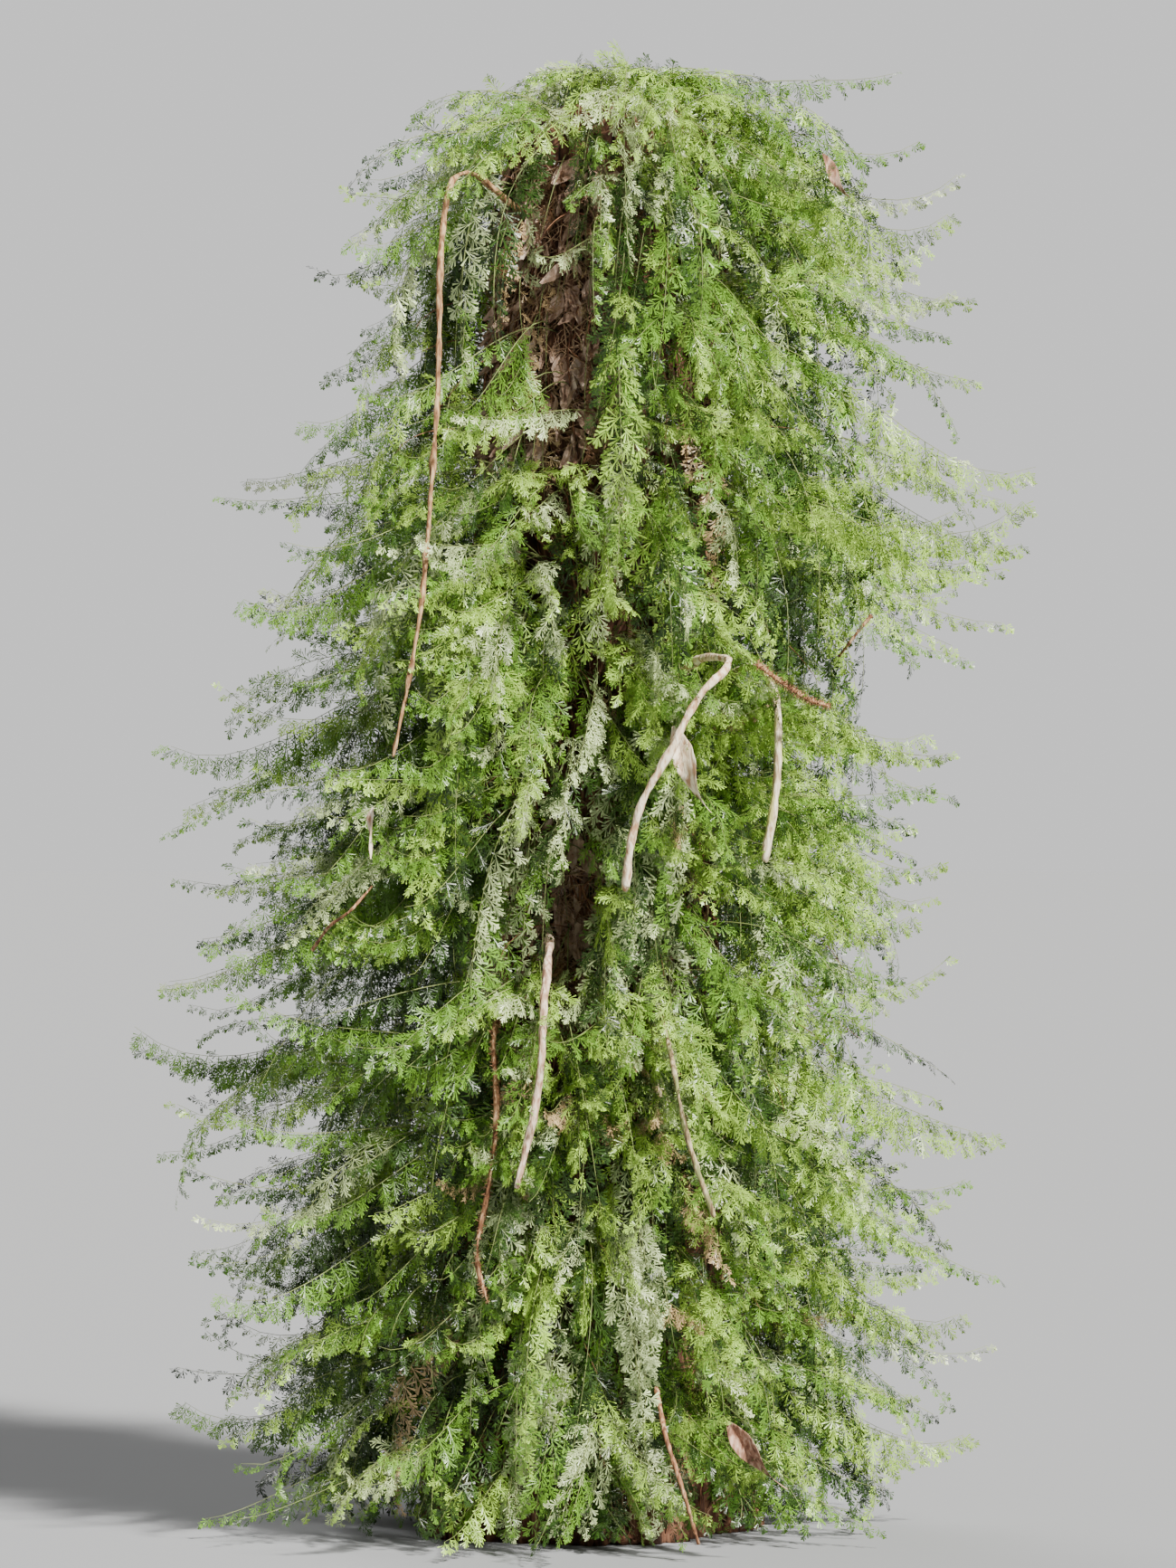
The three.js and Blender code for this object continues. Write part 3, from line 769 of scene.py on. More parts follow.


# As on the stalks, the first colour of each scrap is painted shade for its creases.
scrap_materials = {
    "pale": stalk_material("papery_scrap", (0.42, 0.25, 0.15), (0.7, 0.56, 0.41), (0.86, 0.77, 0.62)),
    "brown": stalk_material("brown_scrap", (0.12, 0.05, 0.03), (0.3, 0.16, 0.1), (0.5, 0.34, 0.25)),
}
first_scrap = make_scrap(scrap_materials["pale"])
print("faces of a scrap:", len(first_scrap.data.polygons))

# %% [markdown]
# ## Scraps in their places
# There are four scraps, and what repeats is modelled once. So the others are copies of the first, each
# with its own mesh. Every scrap is turned and sized to its own place, and hangs from a pixel of the
# photograph. Its place goes into the mesh, so that its object stays at the origin as the frame's nodes do.

# %% Scraps in their places
SCRAPS = [
    {"column": 747, "row": 800, "depth": -0.190, "lean": -14, "turn": 20, "size": 1.0, "tone": "pale"},
    {"column": 404, "row": 893, "depth": -0.168, "lean": 8, "turn": -40, "size": 0.55, "tone": "pale"},
    {"column": 921, "row": 138, "depth": -0.130, "lean": -24, "turn": 50, "size": 0.55, "tone": "brown"},
    {"column": 808, "row": 1590, "depth": -0.196, "lean": -32, "turn": 10, "size": 0.95, "tone": "brown"},
]


def place_scrap(piece, column, row, depth, lean, turn, size, tone):
    """Hangs a scrap from a pixel of the photograph: upright, turned, leaned, and kept in its mesh."""
    hang = Matrix.Rotation(math.radians(90), 4, "X")
    turned = Matrix.Rotation(math.radians(turn), 4, "Z") @ hang
    leaned = Matrix.Rotation(math.radians(lean), 4, "Y") @ turned
    place = Matrix.Translation(photo_point(column, row, depth))
    piece.data.transform(place @ leaned @ Matrix.Scale(size, 4))
    piece.data.materials[0] = scrap_materials[tone]
    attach(piece, "root")


scraps = [first_scrap]
for number in range(2, len(SCRAPS) + 1):
    scraps.append(link_object(f"dry_scrap_{number}", first_scrap.data.copy()))
for scrap, place in zip(scraps, SCRAPS):
    place_scrap(scrap, **place)
print("scraps:", [scrap.name for scrap in scraps])

# %% [markdown]
# ## Short twigs
# Between the stalks lie a few short, rough bits of dead stalk, too small for a solid in the frame. Each is
# a path through pixels of the photograph. We lay a tube with many rings along it and make its radius
# uneven from ring to ring, because broken, crusted twigs are never smooth.

# %% Short twigs
TWIG_STEPS = 36
TWIG_SIDES = 7
TWIG_TAPER = (1.1, 0.7)
TWIG_RADII = [0.0013, 0.0014, 0.0010, 0.0011]
TWIG_CORNERS = [
    [(843, 730, -0.178), (872, 752, -0.182), (900, 770, -0.18), (926, 778, -0.176)],
    [(728, 1558, -0.16), (738, 1610, -0.18), (758, 1670, -0.188), (776, 1733, -0.18)],
    [(332, 1058, -0.13), (352, 1030, -0.15), (378, 1012, -0.16), (402, 984, -0.15)],
    [(984, 668, -0.05), (970, 684, -0.055), (958, 700, -0.06), (946, 716, -0.05)],
]


def twig_path(corners):
    """A smooth path through corners that are each given as a column, a row and a depth."""
    corners = np.array([photo_point(*corner) for corner in corners])
    shares = np.linspace(0, 1, TWIG_STEPS)
    ends = np.linspace(0, 1, len(corners))
    path = np.stack([np.interp(shares, ends, corners[:, axis]) for axis in range(3)], -1)
    for _ in range(3):
        path[1:-1] = (path[:-2] + path[1:-1] + path[2:]) / 3
    return path


def make_twigs(material):
    paths = np.array([twig_path(corners) for corners in TWIG_CORNERS])
    crust = np.random.default_rng(SEED + 1).uniform(0.75, 1.25, paths.shape[:2])
    radii = np.array(TWIG_RADII)[:, None] * crust * np.linspace(*TWIG_TAPER, TWIG_STEPS)
    points, triangles = tubes(paths, radii, np.tile([0.0, 1.0, 0.0], (len(paths), 1)), TWIG_SIDES)
    return piece_from_arrays("dry_twigs", points, triangles, material, "dead_stalk", smooth=True)


rough_material = stalk_materials["dead_stalk_brown"]
twigs = make_twigs(rough_material)
print("triangles of twigs:", len(twigs.data.polygons))

# %% [markdown]
# ## Bristles
# The twig beside the hooked stalk and the brown stalk low in the middle are rough with short, stiff
# bristles. Hair particles would look right, but they aren't a mesh. So each bristle is a thin tube that
# starts just inside the surface and leans a little by chance.

# %% Bristles
BRISTLES = {"twig": 560, "stalk": 700}
BRISTLE_LENGTH = 0.0026
BRISTLE_ROOT = 0.0003
BRISTLE_RADII = (0.00028, 0.00008)
BRISTLE_SIDES = 3
BRISTLE_LEAN = 0.45


def add_bristles(name, piece, count, rng, last=None):
    """Bristles on a piece, at points chosen by chance up to the last one wanted."""
    points = point_values(piece)[:last]
    normals = point_values(piece, "normal")[:last]
    chosen = rng.integers(0, len(points), count)
    points, normals = points[chosen], normals[chosen]
    direction = unit(normals + rng.normal(0, BRISTLE_LEAN, points.shape))
    length = rng.uniform(0.35, 1.0, (count, 1)) * BRISTLE_LENGTH
    paths = np.stack([points - direction * BRISTLE_ROOT, points + direction * length], 1)
    reference = unit(rng.normal(size=points.shape))
    mesh = tubes(paths, np.tile(BRISTLE_RADII, (count, 1)), reference, BRISTLE_SIDES)
    return piece_from_arrays(name, *mesh, rough_material, "dead_stalk")


bristle_rng = np.random.default_rng(SEED + 2)
brown_stalk = bpy.data.objects["dry_stalk_brown"]
first_twig = TWIG_STEPS * TWIG_SIDES
rough_pieces = [
    add_bristles("bristles_twig", twigs, BRISTLES["twig"], bristle_rng, last=first_twig),
    add_bristles("bristles_stalk", brown_stalk, BRISTLES["stalk"], bristle_rng),
]
print("triangles of bristles:", [len(piece.data.polygons) for piece in rough_pieces])

# %% [markdown]
# ## Reading the fronds of the frame
# Each group of fronds in the frame has one that arches out and reaches further than the others. Its root
# is the group's nearest point to the trunk, and its tip the furthest. Those two give the frond's
# heading, its span, and how far its tip hangs below its root. The fine foliage takes its reach from them.

# %% Primary fronds
FROND_NODES = sorted(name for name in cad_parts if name.startswith("fronds_ring"))
ROOT_THICKNESS = 0.0015


def read_frond(node):
    """Where a group's longest frond starts and heads, how far it reaches, and how far its tip hangs."""
    points = point_values(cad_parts[node])
    away = points[:, :2] - trunk_axis(points[:, 2])
    radius = np.linalg.norm(away, axis=1)
    root = points[radius < radius.min() + ROOT_THICKNESS].mean(0)
    tip = points[radius.argmax()]
    at_root = root[:2] - trunk_axis(root[2])
    return {
        "node": node,
        "z": root[2],
        "azimuth": math.atan2(at_root[1], at_root[0]),
        "heading": math.atan2(tip[1] - root[1], tip[0] - root[0]),
        "span": math.hypot(*(tip - root)[:2]),
        "drop": root[2] - tip[2],
    }


primary = [read_frond(node) for node in FROND_NODES]
primary_z, primary_azimuth, primary_span, primary_drop = (
    np.array([frond[key] for frond in primary]) for key in ("z", "azimuth", "span", "drop")
)
print("spans of the frame's fronds:", primary_span.min().round(3), "to", primary_span.max().round(3))

# %% [markdown]
# ## Reach at any root
# The finer fronds start between those of the frame, so each needs a reach of its own. With the reach of
# its nearest neighbour alone, the clump's outline would have steps. So all of the frame's fronds are
# averaged, and the nearest count most. A long span is drawn in a little towards the usual one, so that
# the longest fronds of the frame still stand out at the sides, as they do in the photograph.

# %% Reach at any root
NEAR = 0.03
TURN_RADIUS = 0.13
WEIGHT_FALLOFF = 1.6
USUAL_SPAN = 0.155
DRAWN_IN = 0.25


def local_reach(z, azimuth):
    """The span and drop of the frame's fronds near a root, the nearest counting most."""
    turn = (azimuth - primary_azimuth + math.pi) % (2 * math.pi) - math.pi
    distance = (TURN_RADIUS * turn) ** 2 + (z - primary_z) ** 2 + NEAR**2
    weight = distance**-WEIGHT_FALLOFF
    weight /= weight.sum()
    span = weight @ primary_span
    return min(span, (1 - DRAWN_IN) * span + DRAWN_IN * USUAL_SPAN), weight @ primary_drop


reach_in_front = local_reach(TRUNK_TOP / 2, -math.pi / 2)
print("span and drop at half height in front:", np.round(reach_in_front, 3))

# %% [markdown]
# ## One leaflet
# A filmy fern's leaflet is cut nearly to nothing: a thin rib, and side branches to its left and right in
# turn, each spread into a little hand of three slim fingers. A finger is narrow where it starts and blunt
# at its tip, about a millimetre wide, so one triangle is enough for it. We build the leaflet flat in its
# own plane, u along the rib and v across it, one unit long, and then let it curl and fold. Long leaflets
# have more branches than short ones, so we make three sizes with a few variants each.

# %% Leaflet shapes
SHORTEST_LENGTHS = {8: 0.015, 6: 0.0095, 4: 0.0}
FINGER_WIDTHS = {8: 0.040, 6: 0.060, 4: 0.090}
BRANCH_LENGTHS = {8: 0.40, 6: 0.46, 4: 0.54}
RIB_PARTS = (0.45, 0.33)
RIB_WIDTH = 0.026
RIB_BEND = 0.16
END_HAND = 0.27
FINGERS = 3
FINGER_SPREAD = (21, 33)
FINGER_LIFT = 0.22
BRANCH_ANGLE = (40, 58)
BRANCH_CLOSING = 16
BRANCH_TAPER = 0.4
LEAFLET_VARIANTS = 7
CURL = 0.22
FOLD = 0.22


def plane_direction(angle):
    return np.array([math.cos(angle), math.sin(angle), 0])


def add_rib(points, triangles, start, angle, length):
    """A narrow strip of the leaflet's rib. Returns its end."""
    end = start + plane_direction(angle) * length
    half = plane_direction(angle + math.pi / 2) * RIB_WIDTH / 2
    first = len(points)
    points += [start - half, start + half, end + half, end - half]
    triangles += [(first, first + 3, first + 2), (first, first + 2, first + 1)]
    return end


def add_hand(points, triangles, start, angle, length, width, rng, fingers=FINGERS):
    """Fingers that start together and spread, each a slim wedge with a blunt tip."""
    spread = math.radians(rng.uniform(*FINGER_SPREAD))
    for finger in range(fingers):
        turned = angle + spread * (finger - (fingers - 1) / 2) + rng.normal(0, 0.05)
        tip = start + plane_direction(turned) * length * rng.uniform(0.6, 1.05)
        tip[2] += length * rng.uniform(-FINGER_LIFT, FINGER_LIFT)
        half = plane_direction(turned + math.pi / 2) * width * rng.uniform(0.4, 0.6)
        first = len(points)
        points += [start, tip - half, tip + half]
        triangles.append((first, first + 1, first + 2))


def leaflet_shape(branches, rng):
    """Points and triangles of a leaflet one unit long, with this many side branches."""
    points, triangles = [], []
    width = FINGER_WIDTHS[branches]
    bend = rng.uniform(-RIB_BEND, RIB_BEND)
    middle = add_rib(points, triangles, np.zeros(3), -bend, RIB_PARTS[0])
    end = add_rib(points, triangles, middle, bend, RIB_PARTS[1])
    for branch in range(branches):
        share = (branch + 0.5 + rng.uniform(-0.15, 0.15)) / branches
        start = middle * share * 2 if share < 0.5 else middle + (end - middle) * (share * 2 - 1)
        side = 1 if branch % 2 else -1
        angle = side * math.radians(rng.uniform(*BRANCH_ANGLE) - BRANCH_CLOSING * share)
        length = BRANCH_LENGTHS[branches] * (1 - BRANCH_TAPER * share) * rng.uniform(0.85, 1.12)
        add_hand(points, triangles, start, angle, length, width, rng)
    add_hand(points, triangles, end, 0, END_HAND, width, rng, fingers=FINGERS + 1)
    points = np.array(points)
    points[:, 2] -= CURL * points[:, 0] ** 2 + FOLD * abs(points[:, 1])
    return points, np.array(triangles)


leaflet_shapes = {
    size: [leaflet_shape(size, rng) for _ in range(LEAFLET_VARIANTS)] for size in SHORTEST_LENGTHS
}
print("triangles a leaflet:", {size: len(shapes[0][1]) for size, shapes in leaflet_shapes.items()})

# %% [markdown]
# ## The rule of growth
# The frame's rule is written again here, with more rings and more roots. A frond is first only four
# control points of a curve, with its width and its droop, so that thousands can be grown and moved before
# any mesh is made. There are four habits. An arching frond goes out, dips and lifts its tip. A falling one
# goes out and then drops, so that its blade faces outward. A short one points any way. A hanging one stays
# close over the trunk. The tables give how far each value of a habit varies by chance.

# %% Habits of growth
HABITS = {
    "arching": {"aside": 0.16, "roll": 0.55, "droop": (12, 50), "pull": (0.05, 0.4), "stipe": (0.18, 0.28)},
    "falling": {"aside": 0.28, "roll": 0.6, "droop": (0, 28), "pull": (0, 0.2), "stipe": (0.25, 0.36)},
    "short": {"aside": 0.3, "roll": 0.7, "droop": (0, 30), "pull": (0, 0.15), "stipe": (0.08, 0.2)},
    "hanging": {"aside": 0.12, "roll": 0.25, "droop": (4, 26), "pull": (0, 0.15), "stipe": (0.1, 0.2)},
}
LEAFLET_LENGTHS = {"arching": 0.0175, "falling": 0.0185, "short": 0.0165, "hanging": 0.021}
LEAST_SHARES = {"arching": 0.85, "falling": 0.82, "short": 0.8, "hanging": 0.85}
MOST_SHARE = 1.15
LOWEST_TIP = 0.012
SHORT_SPANS = (0.045, 0.1)
HANGING_COARSENESS = 0.6
WITHERED = {
    "turn": 0.5,
    "length": (0.05, 0.11),
    "out": (0.1, 0.35),
    "leaflet": (0.010, 0.015),
    "droop": (35, 75),
}


def bezier_controls(root, heading, steps, sideways):
    """Control points from (out, down) steps, leaning sideways towards the tip, within the frame's box."""
    direction = outward(heading)
    across = outward(heading + math.pi / 2)
    controls = [root]
    for share, (out, down) in enumerate(steps, 1):
        aside = across * sideways * (share / 3) ** 2
        controls.append(root + direction * out + aside - np.array([0, 0, down]))
    return np.clip(controls, (cad_low[0], cad_low[1], LOWEST_TIP), cad_high)


def frond_of(habit, root, heading, steps, reach, rng, wild=1.0):
    """A frond: its curve, how its blade turns and droops, its longest leaflet and its bare stipe."""
    ranges = HABITS[habit]
    return {
        "controls": bezier_controls(root, heading, steps, wild * rng.normal(0, ranges["aside"]) * reach),
        "heading": heading,
        "roll": wild * rng.normal(0, ranges["roll"]),
        "droop": math.radians(rng.uniform(*ranges["droop"])),
        "pull": rng.uniform(*ranges["pull"]),
        "leaflet": LEAFLET_LENGTHS[habit] * rng.uniform(LEAST_SHARES[habit], MOST_SHARE),
        "stipe": rng.uniform(*ranges["stipe"]),
    }


def arching_frond(root, heading, span, drop, rng, wild=1.0):
    """An arching frond. With little wildness it keeps close to the span and the drop that it is given."""
    lift = span * (0.1 + wild * rng.uniform(0, 0.2))
    tip = drop * (1 - 0.5 * wild) + wild * span * rng.uniform(-0.3, 0.35)
    dip = 0.7 * tip + span * (0.3 - wild * rng.uniform(0, 0.3))
    steps = [(0.3 * span, -lift), (0.7 * span, dip), (span, tip)]
    return frond_of("arching", root, heading, steps, span, rng, wild)


def falling_frond(root, heading, span, rng):
    fall = span * rng.uniform(0.05, 0.55)
    lift = span * rng.uniform(0.0, 0.3)
    steps = [(0.4 * span, -lift), (rng.uniform(0.7, 1.0) * span, rng.uniform(-0.3, 0.2) * fall), (span, fall)]
    return frond_of("falling", root, heading, steps, span, rng)


def short_frond(root, heading, rng):
    span = rng.uniform(*SHORT_SPANS)
    lift = span * rng.uniform(0, 0.7)
    steps = [(0.35 * span, -lift), (0.85 * span, -0.7 * lift), (span, span * rng.uniform(-0.2, 0.7))]
    return frond_of("short", root, heading, steps, span, rng)


def hanging_frond(root, azimuth, turn, length, out, rng):
    """A hanging frond. Its leaflets are larger and fewer, because others mostly hide it."""
    shares = [(0.6 * out, 0.08), (1.15 * out, 0.3), (out, 0.88)]
    steps = [(outwards * length, down * length) for outwards, down in shares]
    frond = frond_of("hanging", root, azimuth + turn, steps, length, rng)
    frond["heading"] = azimuth + turn / 2
    frond["coarse"] = HANGING_COARSENESS
    return frond


def withered_frond(root, azimuth, rng):
    """A dead frond: short, drawn close to the trunk, its leaflets shrunk and folded."""
    turn = rng.normal(0, WITHERED["turn"])
    length, out = (rng.uniform(*WITHERED[key]) for key in ("length", "out"))
    frond = hanging_frond(root, azimuth, turn, length, out, rng)
    frond["leaflet"] = rng.uniform(*WITHERED["leaflet"])
    frond["droop"] = math.radians(rng.uniform(*WITHERED["droop"]))
    frond["tint"] = rng.choice(["dry", "brown"])
    return frond


print("habits of growth:", list(HABITS))

# %% [markdown]
# ## Fronds at the frame's roots
# The fronds of the frame come first. Each keeps its root, heading, span and drop, and has the longest
# leaflets, because these are the fronds that stand out from the clump. Two more grow from the same root:
# one falls over, and one hangs close to the trunk.

# %% Fronds at the frame's roots
ROOT_CLEARANCE = 0.0004
FRAME_WILDNESS = 0.15
LONGEST_LEAFLET = 0.024
FRAME_DROOP = (42, 62)
FRAME_PULL = (0.3, 0.7)
FALLING_SHARE = 0.75
COMPANION = {"turn": (0.2, 0.8), "length": (0.12, 0.17), "out": (0.3, 0.6)}


def grow_from_frame():
    """The frame's own fronds, which know the node that they replace, with two companions each."""
    grown = []
    for frond in primary:
        azimuth, heading, span = frond["azimuth"], frond["heading"], frond["span"]
        root = on_skin(frond["z"], azimuth, ROOT_CLEARANCE)
        arching = arching_frond(root, heading, span, frond["drop"], rng, FRAME_WILDNESS)
        arching["node"] = frond["node"]
        # Fronds on the right, where the key light falls, get the light tint as painted light.
        arching["tint"] = "light" if root[0] > 0 else "fresh"
        arching["droop"] = math.radians(rng.uniform(*FRAME_DROOP))
        arching["pull"] = rng.uniform(*FRAME_PULL)
        arching["leaflet"] = LONGEST_LEAFLET
        grown.append(arching)
        grown.append(falling_frond(root, heading + rng.normal(0, 0.3), FALLING_SHARE * span, rng))
        turn = rng.choice([-1, 1]) * rng.uniform(*COMPANION["turn"])
        length, out = (rng.uniform(*COMPANION[key]) for key in ("length", "out"))
        grown.append(hanging_frond(root, azimuth, turn, length, out, rng))
    return grown


from_frame = grow_from_frame()
print("fronds at the frame's roots:", len(from_frame))

# %% [markdown]
# ## Bare and crowded places
# Rings of other roots stand between those of the frame. Nothing grows where the photograph shows the bare
# trunk. Elsewhere slow noise over the trunk leaves gaps a few centimetres wide, because between the lit
# sprays one looks into darkness. The middle of the front and the left flank are full in the photograph,
# so there are no gaps there.

# %% Bare and crowded places
GAP_SCALE = 19.0
GAP_LEVEL = -0.16
FRONT_HALF_WIDTH = 0.045
LEFT_FLANK = {"right": -0.03, "low": 0.15, "high": 0.52}
LOWEST_ROOT = 0.05
HIGHEST_ROOT = 0.83
SAMPLES = 400


def in_bare_patch(point):
    """True for a point in front of one of the places where the trunk shows."""
    if point[1] > 0:
        return False
    for patch in BARE_PATCHES:
        middle = photo_point(patch["column"], patch["row"])
        across = (point[0] - middle.x) / patch["wide"]
        up = (point[2] - middle.z) / patch["high"]
        if across**2 + up**2 < 1:
            return True
    return False


def in_front_middle(point):
    """True in the middle of the front, where pale fronds hang in front of the trunk."""
    return point[1] < 0 and abs(point[0]) < FRONT_HALF_WIDTH


def on_left_flank(point):
    """True on the left side at half height, where the clump is at its widest."""
    return point[0] < LEFT_FLANK["right"] and LEFT_FLANK["low"] < point[2] < LEFT_FLANK["high"]


def crowded(root):
    """True where the outer fronds grow."""
    if in_front_middle(root) or on_left_flank(root):
        return True
    return noise.noise(Vector(root) * GAP_SCALE) > GAP_LEVEL


sample_heights = rng.uniform(LOWEST_ROOT, HIGHEST_ROOT, SAMPLES)
samples = on_skin(sample_heights, rng.uniform(0, 2 * math.pi, SAMPLES), 0)
print("share of the trunk that is crowded:", np.mean([crowded(point) for point in samples]).round(2))

# %% [markdown]
# ## Fronds between those of the frame
# At each root one falling frond grows, and by chance a few more falling and arching ones. They make the
# outside of the clump. Short and hanging fronds fill its inside, also in the gaps. Scattering copies of one
# frond with a particle system would be quicker, but they would all be alike, and here the reach and the
# habit change from root to root.

# %% Fronds between
FINE_RINGS = 27
ROOTS_PER_RING = 13
MOVED_ROUND = 0.35
MOVED_UP = 0.018
SPREADS = {"falling": 0.35, "second": 0.6, "arching": 0.3, "short": 0.7, "hanging": 0.6}
SPAN_SHARES = {"falling": (0.5, 0.94), "second": (0.4, 0.8), "arching": (0.62, 1.05)}
SECOND_FALLING = 0.5
HANGING_LENGTHS = (0.11, 0.18)
HANGING_OUT = (0.2, 0.62)


def outer_fronds(root, azimuth, span, drop):
    """The fronds that make the outside of the clump: always one, and by chance a few more."""

    def heading_and_span(kind):
        return azimuth + rng.normal(0, SPREADS[kind]), span * rng.uniform(*SPAN_SHARES[kind])

    grown = [falling_frond(root, *heading_and_span("falling"), rng)]
    if rng.random() < SECOND_FALLING:
        grown.append(falling_frond(root, *heading_and_span("second"), rng))
    for _ in range(rng.integers(1, 4)):
        grown.append(arching_frond(root, *heading_and_span("arching"), drop, rng))
    return grown


def grow_at(root, azimuth, span, drop):
    """The fronds of one root. In a gap only short and hanging ones grow."""
    grown = outer_fronds(root, azimuth, span, drop) if crowded(root) else []
    for _ in range(rng.integers(1, 3)):
        grown.append(short_frond(root, azimuth + rng.normal(0, SPREADS["short"]), rng))
    for _ in range(3 if in_front_middle(root) else rng.integers(1, 3)):
        turn = rng.normal(0, SPREADS["hanging"])
        length, out = rng.uniform(*HANGING_LENGTHS), rng.uniform(*HANGING_OUT)
        grown.append(hanging_frond(root, azimuth, turn, length, out, rng))
    return grown


def grow_between():
    """Staggered rings of roots over the whole trunk, each moved a little by chance."""
    grown = []
    for ring, height in enumerate(np.linspace(LOWEST_ROOT, HIGHEST_ROOT, FINE_RINGS)):
        for slot in range(ROOTS_PER_RING):
            place = slot + 0.5 * (ring % 2) + rng.uniform(-MOVED_ROUND, MOVED_ROUND)
            azimuth = 2 * math.pi * place / ROOTS_PER_RING
            z = height + rng.uniform(-MOVED_UP, MOVED_UP)
            root = on_skin(z, azimuth, ROOT_CLEARANCE)
            if not in_bare_patch(root):
                grown += grow_at(root, azimuth, *local_reach(z, azimuth))
    return grown


between = grow_between()
print("fronds between:", len(between))

# %% [markdown]
# ## Tuft and crown
# On the rounded top the fronds rise, spread and droop over its shoulder. The golden angle spaces their
# roots evenly. Short fronds in the middle hide where they start, also from above.

# %% Tuft and crown
TUFT_FRONDS = 84
CROWN_FRONDS = 44
CROWN_BELOW_TOP = 0.006
CROWN_SUNK = 0.003
CROWN_STIPE = 0.04
SHOULDER_DROP = 0.045
SHOULDER_WIDTH = 0.045
TUFT_STIPES = (0.03, 0.12)
TUFT_TIPS = (0.01, 0.09)
CROWN_SPANS = (0.03, 0.07)
CROWN_TIPS = (-0.012, 0.015)


def golden_turn(number):
    """The azimuth of a numbered root, each a golden angle further round than the last."""
    return number * math.pi * (3 - math.sqrt(5))


def grow_tuft():
    """The tuft on the rounded top: fronds that rise, spread and droop over its shoulder."""
    low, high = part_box("fronds_top_tuft")
    reach = (high.x - low.x) / 2
    rise = high.z - TRUNK_TOP
    grown = []
    for number in range(TUFT_FRONDS):
        azimuth = golden_turn(number)
        out = math.sqrt((number + 0.5) / TUFT_FRONDS)
        z = SKIN_TOP - SHOULDER_DROP * out**3
        root = on_skin(z, azimuth, ROOT_CLEARANCE)
        root[:2] = trunk_axis(z) + (root[:2] - trunk_axis(z)) * min(1, 1.2 * out)
        span = (reach - SHOULDER_WIDTH * out) * rng.uniform(0.5 if number % 2 else 0.8, 1.0)
        lift = rise * rng.uniform(0.6, 1.4) * (1.25 - out)
        heading = azimuth + rng.normal(0, 0.7)
        frond = falling_frond(root, heading, span, rng)
        steps = [(0.3 * span, -lift), (0.8 * span, -lift), (span, rng.uniform(*TUFT_TIPS))]
        frond["controls"] = bezier_controls(root, heading, steps, rng.normal(0, 0.2) * span)
        frond["stipe"] = rng.uniform(*TUFT_STIPES)
        grown.append(frond)
    grown[0]["node"] = "fronds_top_tuft"
    return grown


def grow_crown():
    """Short fronds that stand on the very top and hide the roots of the tuft."""
    grown = []
    for number in range(CROWN_FRONDS):
        root = on_skin(TRUNK_TOP - CROWN_BELOW_TOP, golden_turn(number), ROOT_CLEARANCE)
        middle = trunk_axis(TRUNK_TOP)
        root[:2] = middle + (root[:2] - middle) * math.sqrt(number / CROWN_FRONDS)
        root[2] = TRUNK_TOP - CROWN_SUNK
        frond = short_frond(root, rng.uniform(0, 2 * math.pi), rng)
        frond["stipe"] = CROWN_STIPE
        span = rng.uniform(*CROWN_SPANS)
        steps = [(0.2 * span, -0.014), (0.7 * span, -0.02), (span, rng.uniform(*CROWN_TIPS))]
        frond["controls"] = bezier_controls(root, frond["heading"], steps, rng.normal(0, 0.25) * span)
        grown.append(frond)
    return grown


top_fronds = grow_tuft() + grow_crown()
print("fronds on the top:", len(top_fronds))

# %% [markdown]
# ## What carries the dead stalks
# The stalks, twigs and scraps lie on the outside of the clump. So that nothing hangs in the air, fronds
# reach out to them. Most end a few millimetres behind a point of one of them. Others pass beside a stalk
# and reach a little further than it does, so that the stalk lies in among them when seen from the side.

# %% Carriers
CARRIERS = {"stalk": 14, "scrap": 5, "twigs": 16}
BESIDE_STALK = 12
CARRIED_ABOVE = 0.004
SHORTEST_CARRIER = 0.05
CARRIER_WILDNESS = 0.25
ASIDE_OF_STALK = (0.02, 0.04)
BEYOND_STALK = (0.0, 0.012)


def outer_points(piece, count):
    """Points of a piece, chosen by chance from the half that is further from the trunk."""
    points = point_values(piece)
    away = np.linalg.norm(points[:, :2] - trunk_axis(points[:, 2]), axis=1)
    return rng.choice(points[away > np.median(away)], count)


def frond_towards(target, further):
    """A frond that grows towards a point and ends this much further from the trunk, or none."""
    away = target[:2] - trunk_axis(target[2])
    azimuth = math.atan2(away[1], away[0]) + rng.normal(0, 0.2)
    root = on_skin(min(target[2] + rng.uniform(0, 0.05), HIGHEST_ROOT), azimuth, ROOT_CLEARANCE)
    gap = target - root
    span = math.hypot(gap[0], gap[1]) + further
    if span < SHORTEST_CARRIER:
        return []
    heading = math.atan2(gap[1], gap[0])
    return [arching_frond(root, heading, span, root[2] - target[2], rng, CARRIER_WILDNESS)]


def grow_carriers():
    """Fronds that carry the dead stalks, twigs and scraps, and fronds beside the stalks."""
    carried = [outer_points(stalk, CARRIERS["stalk"]) for stalk in stalks]
    carried += [outer_points(scrap, CARRIERS["scrap"]) for scrap in scraps]
    carried.append(outer_points(twigs, CARRIERS["twigs"]))
    grown = []
    for target in np.concatenate(carried):
        grown += frond_towards(target, -CARRIED_ABOVE)
    for target in np.concatenate([outer_points(stalk, BESIDE_STALK) for stalk in stalks]):
        beside = target + np.array([rng.choice([-1, 1]) * rng.uniform(*ASIDE_OF_STALK), 0, 0])
        grown += frond_towards(beside, rng.uniform(*BEYOND_STALK))
    return grown


carriers = grow_carriers()
print("fronds that carry something:", len(carriers))

# %% [markdown]
# ## Withered fronds and the whole clump
# Old fronds hang shrunk against the trunk, half of them in and round the bare patches. In front of those
# patches most of the live fronds are left out, so that the trunk can be seen.

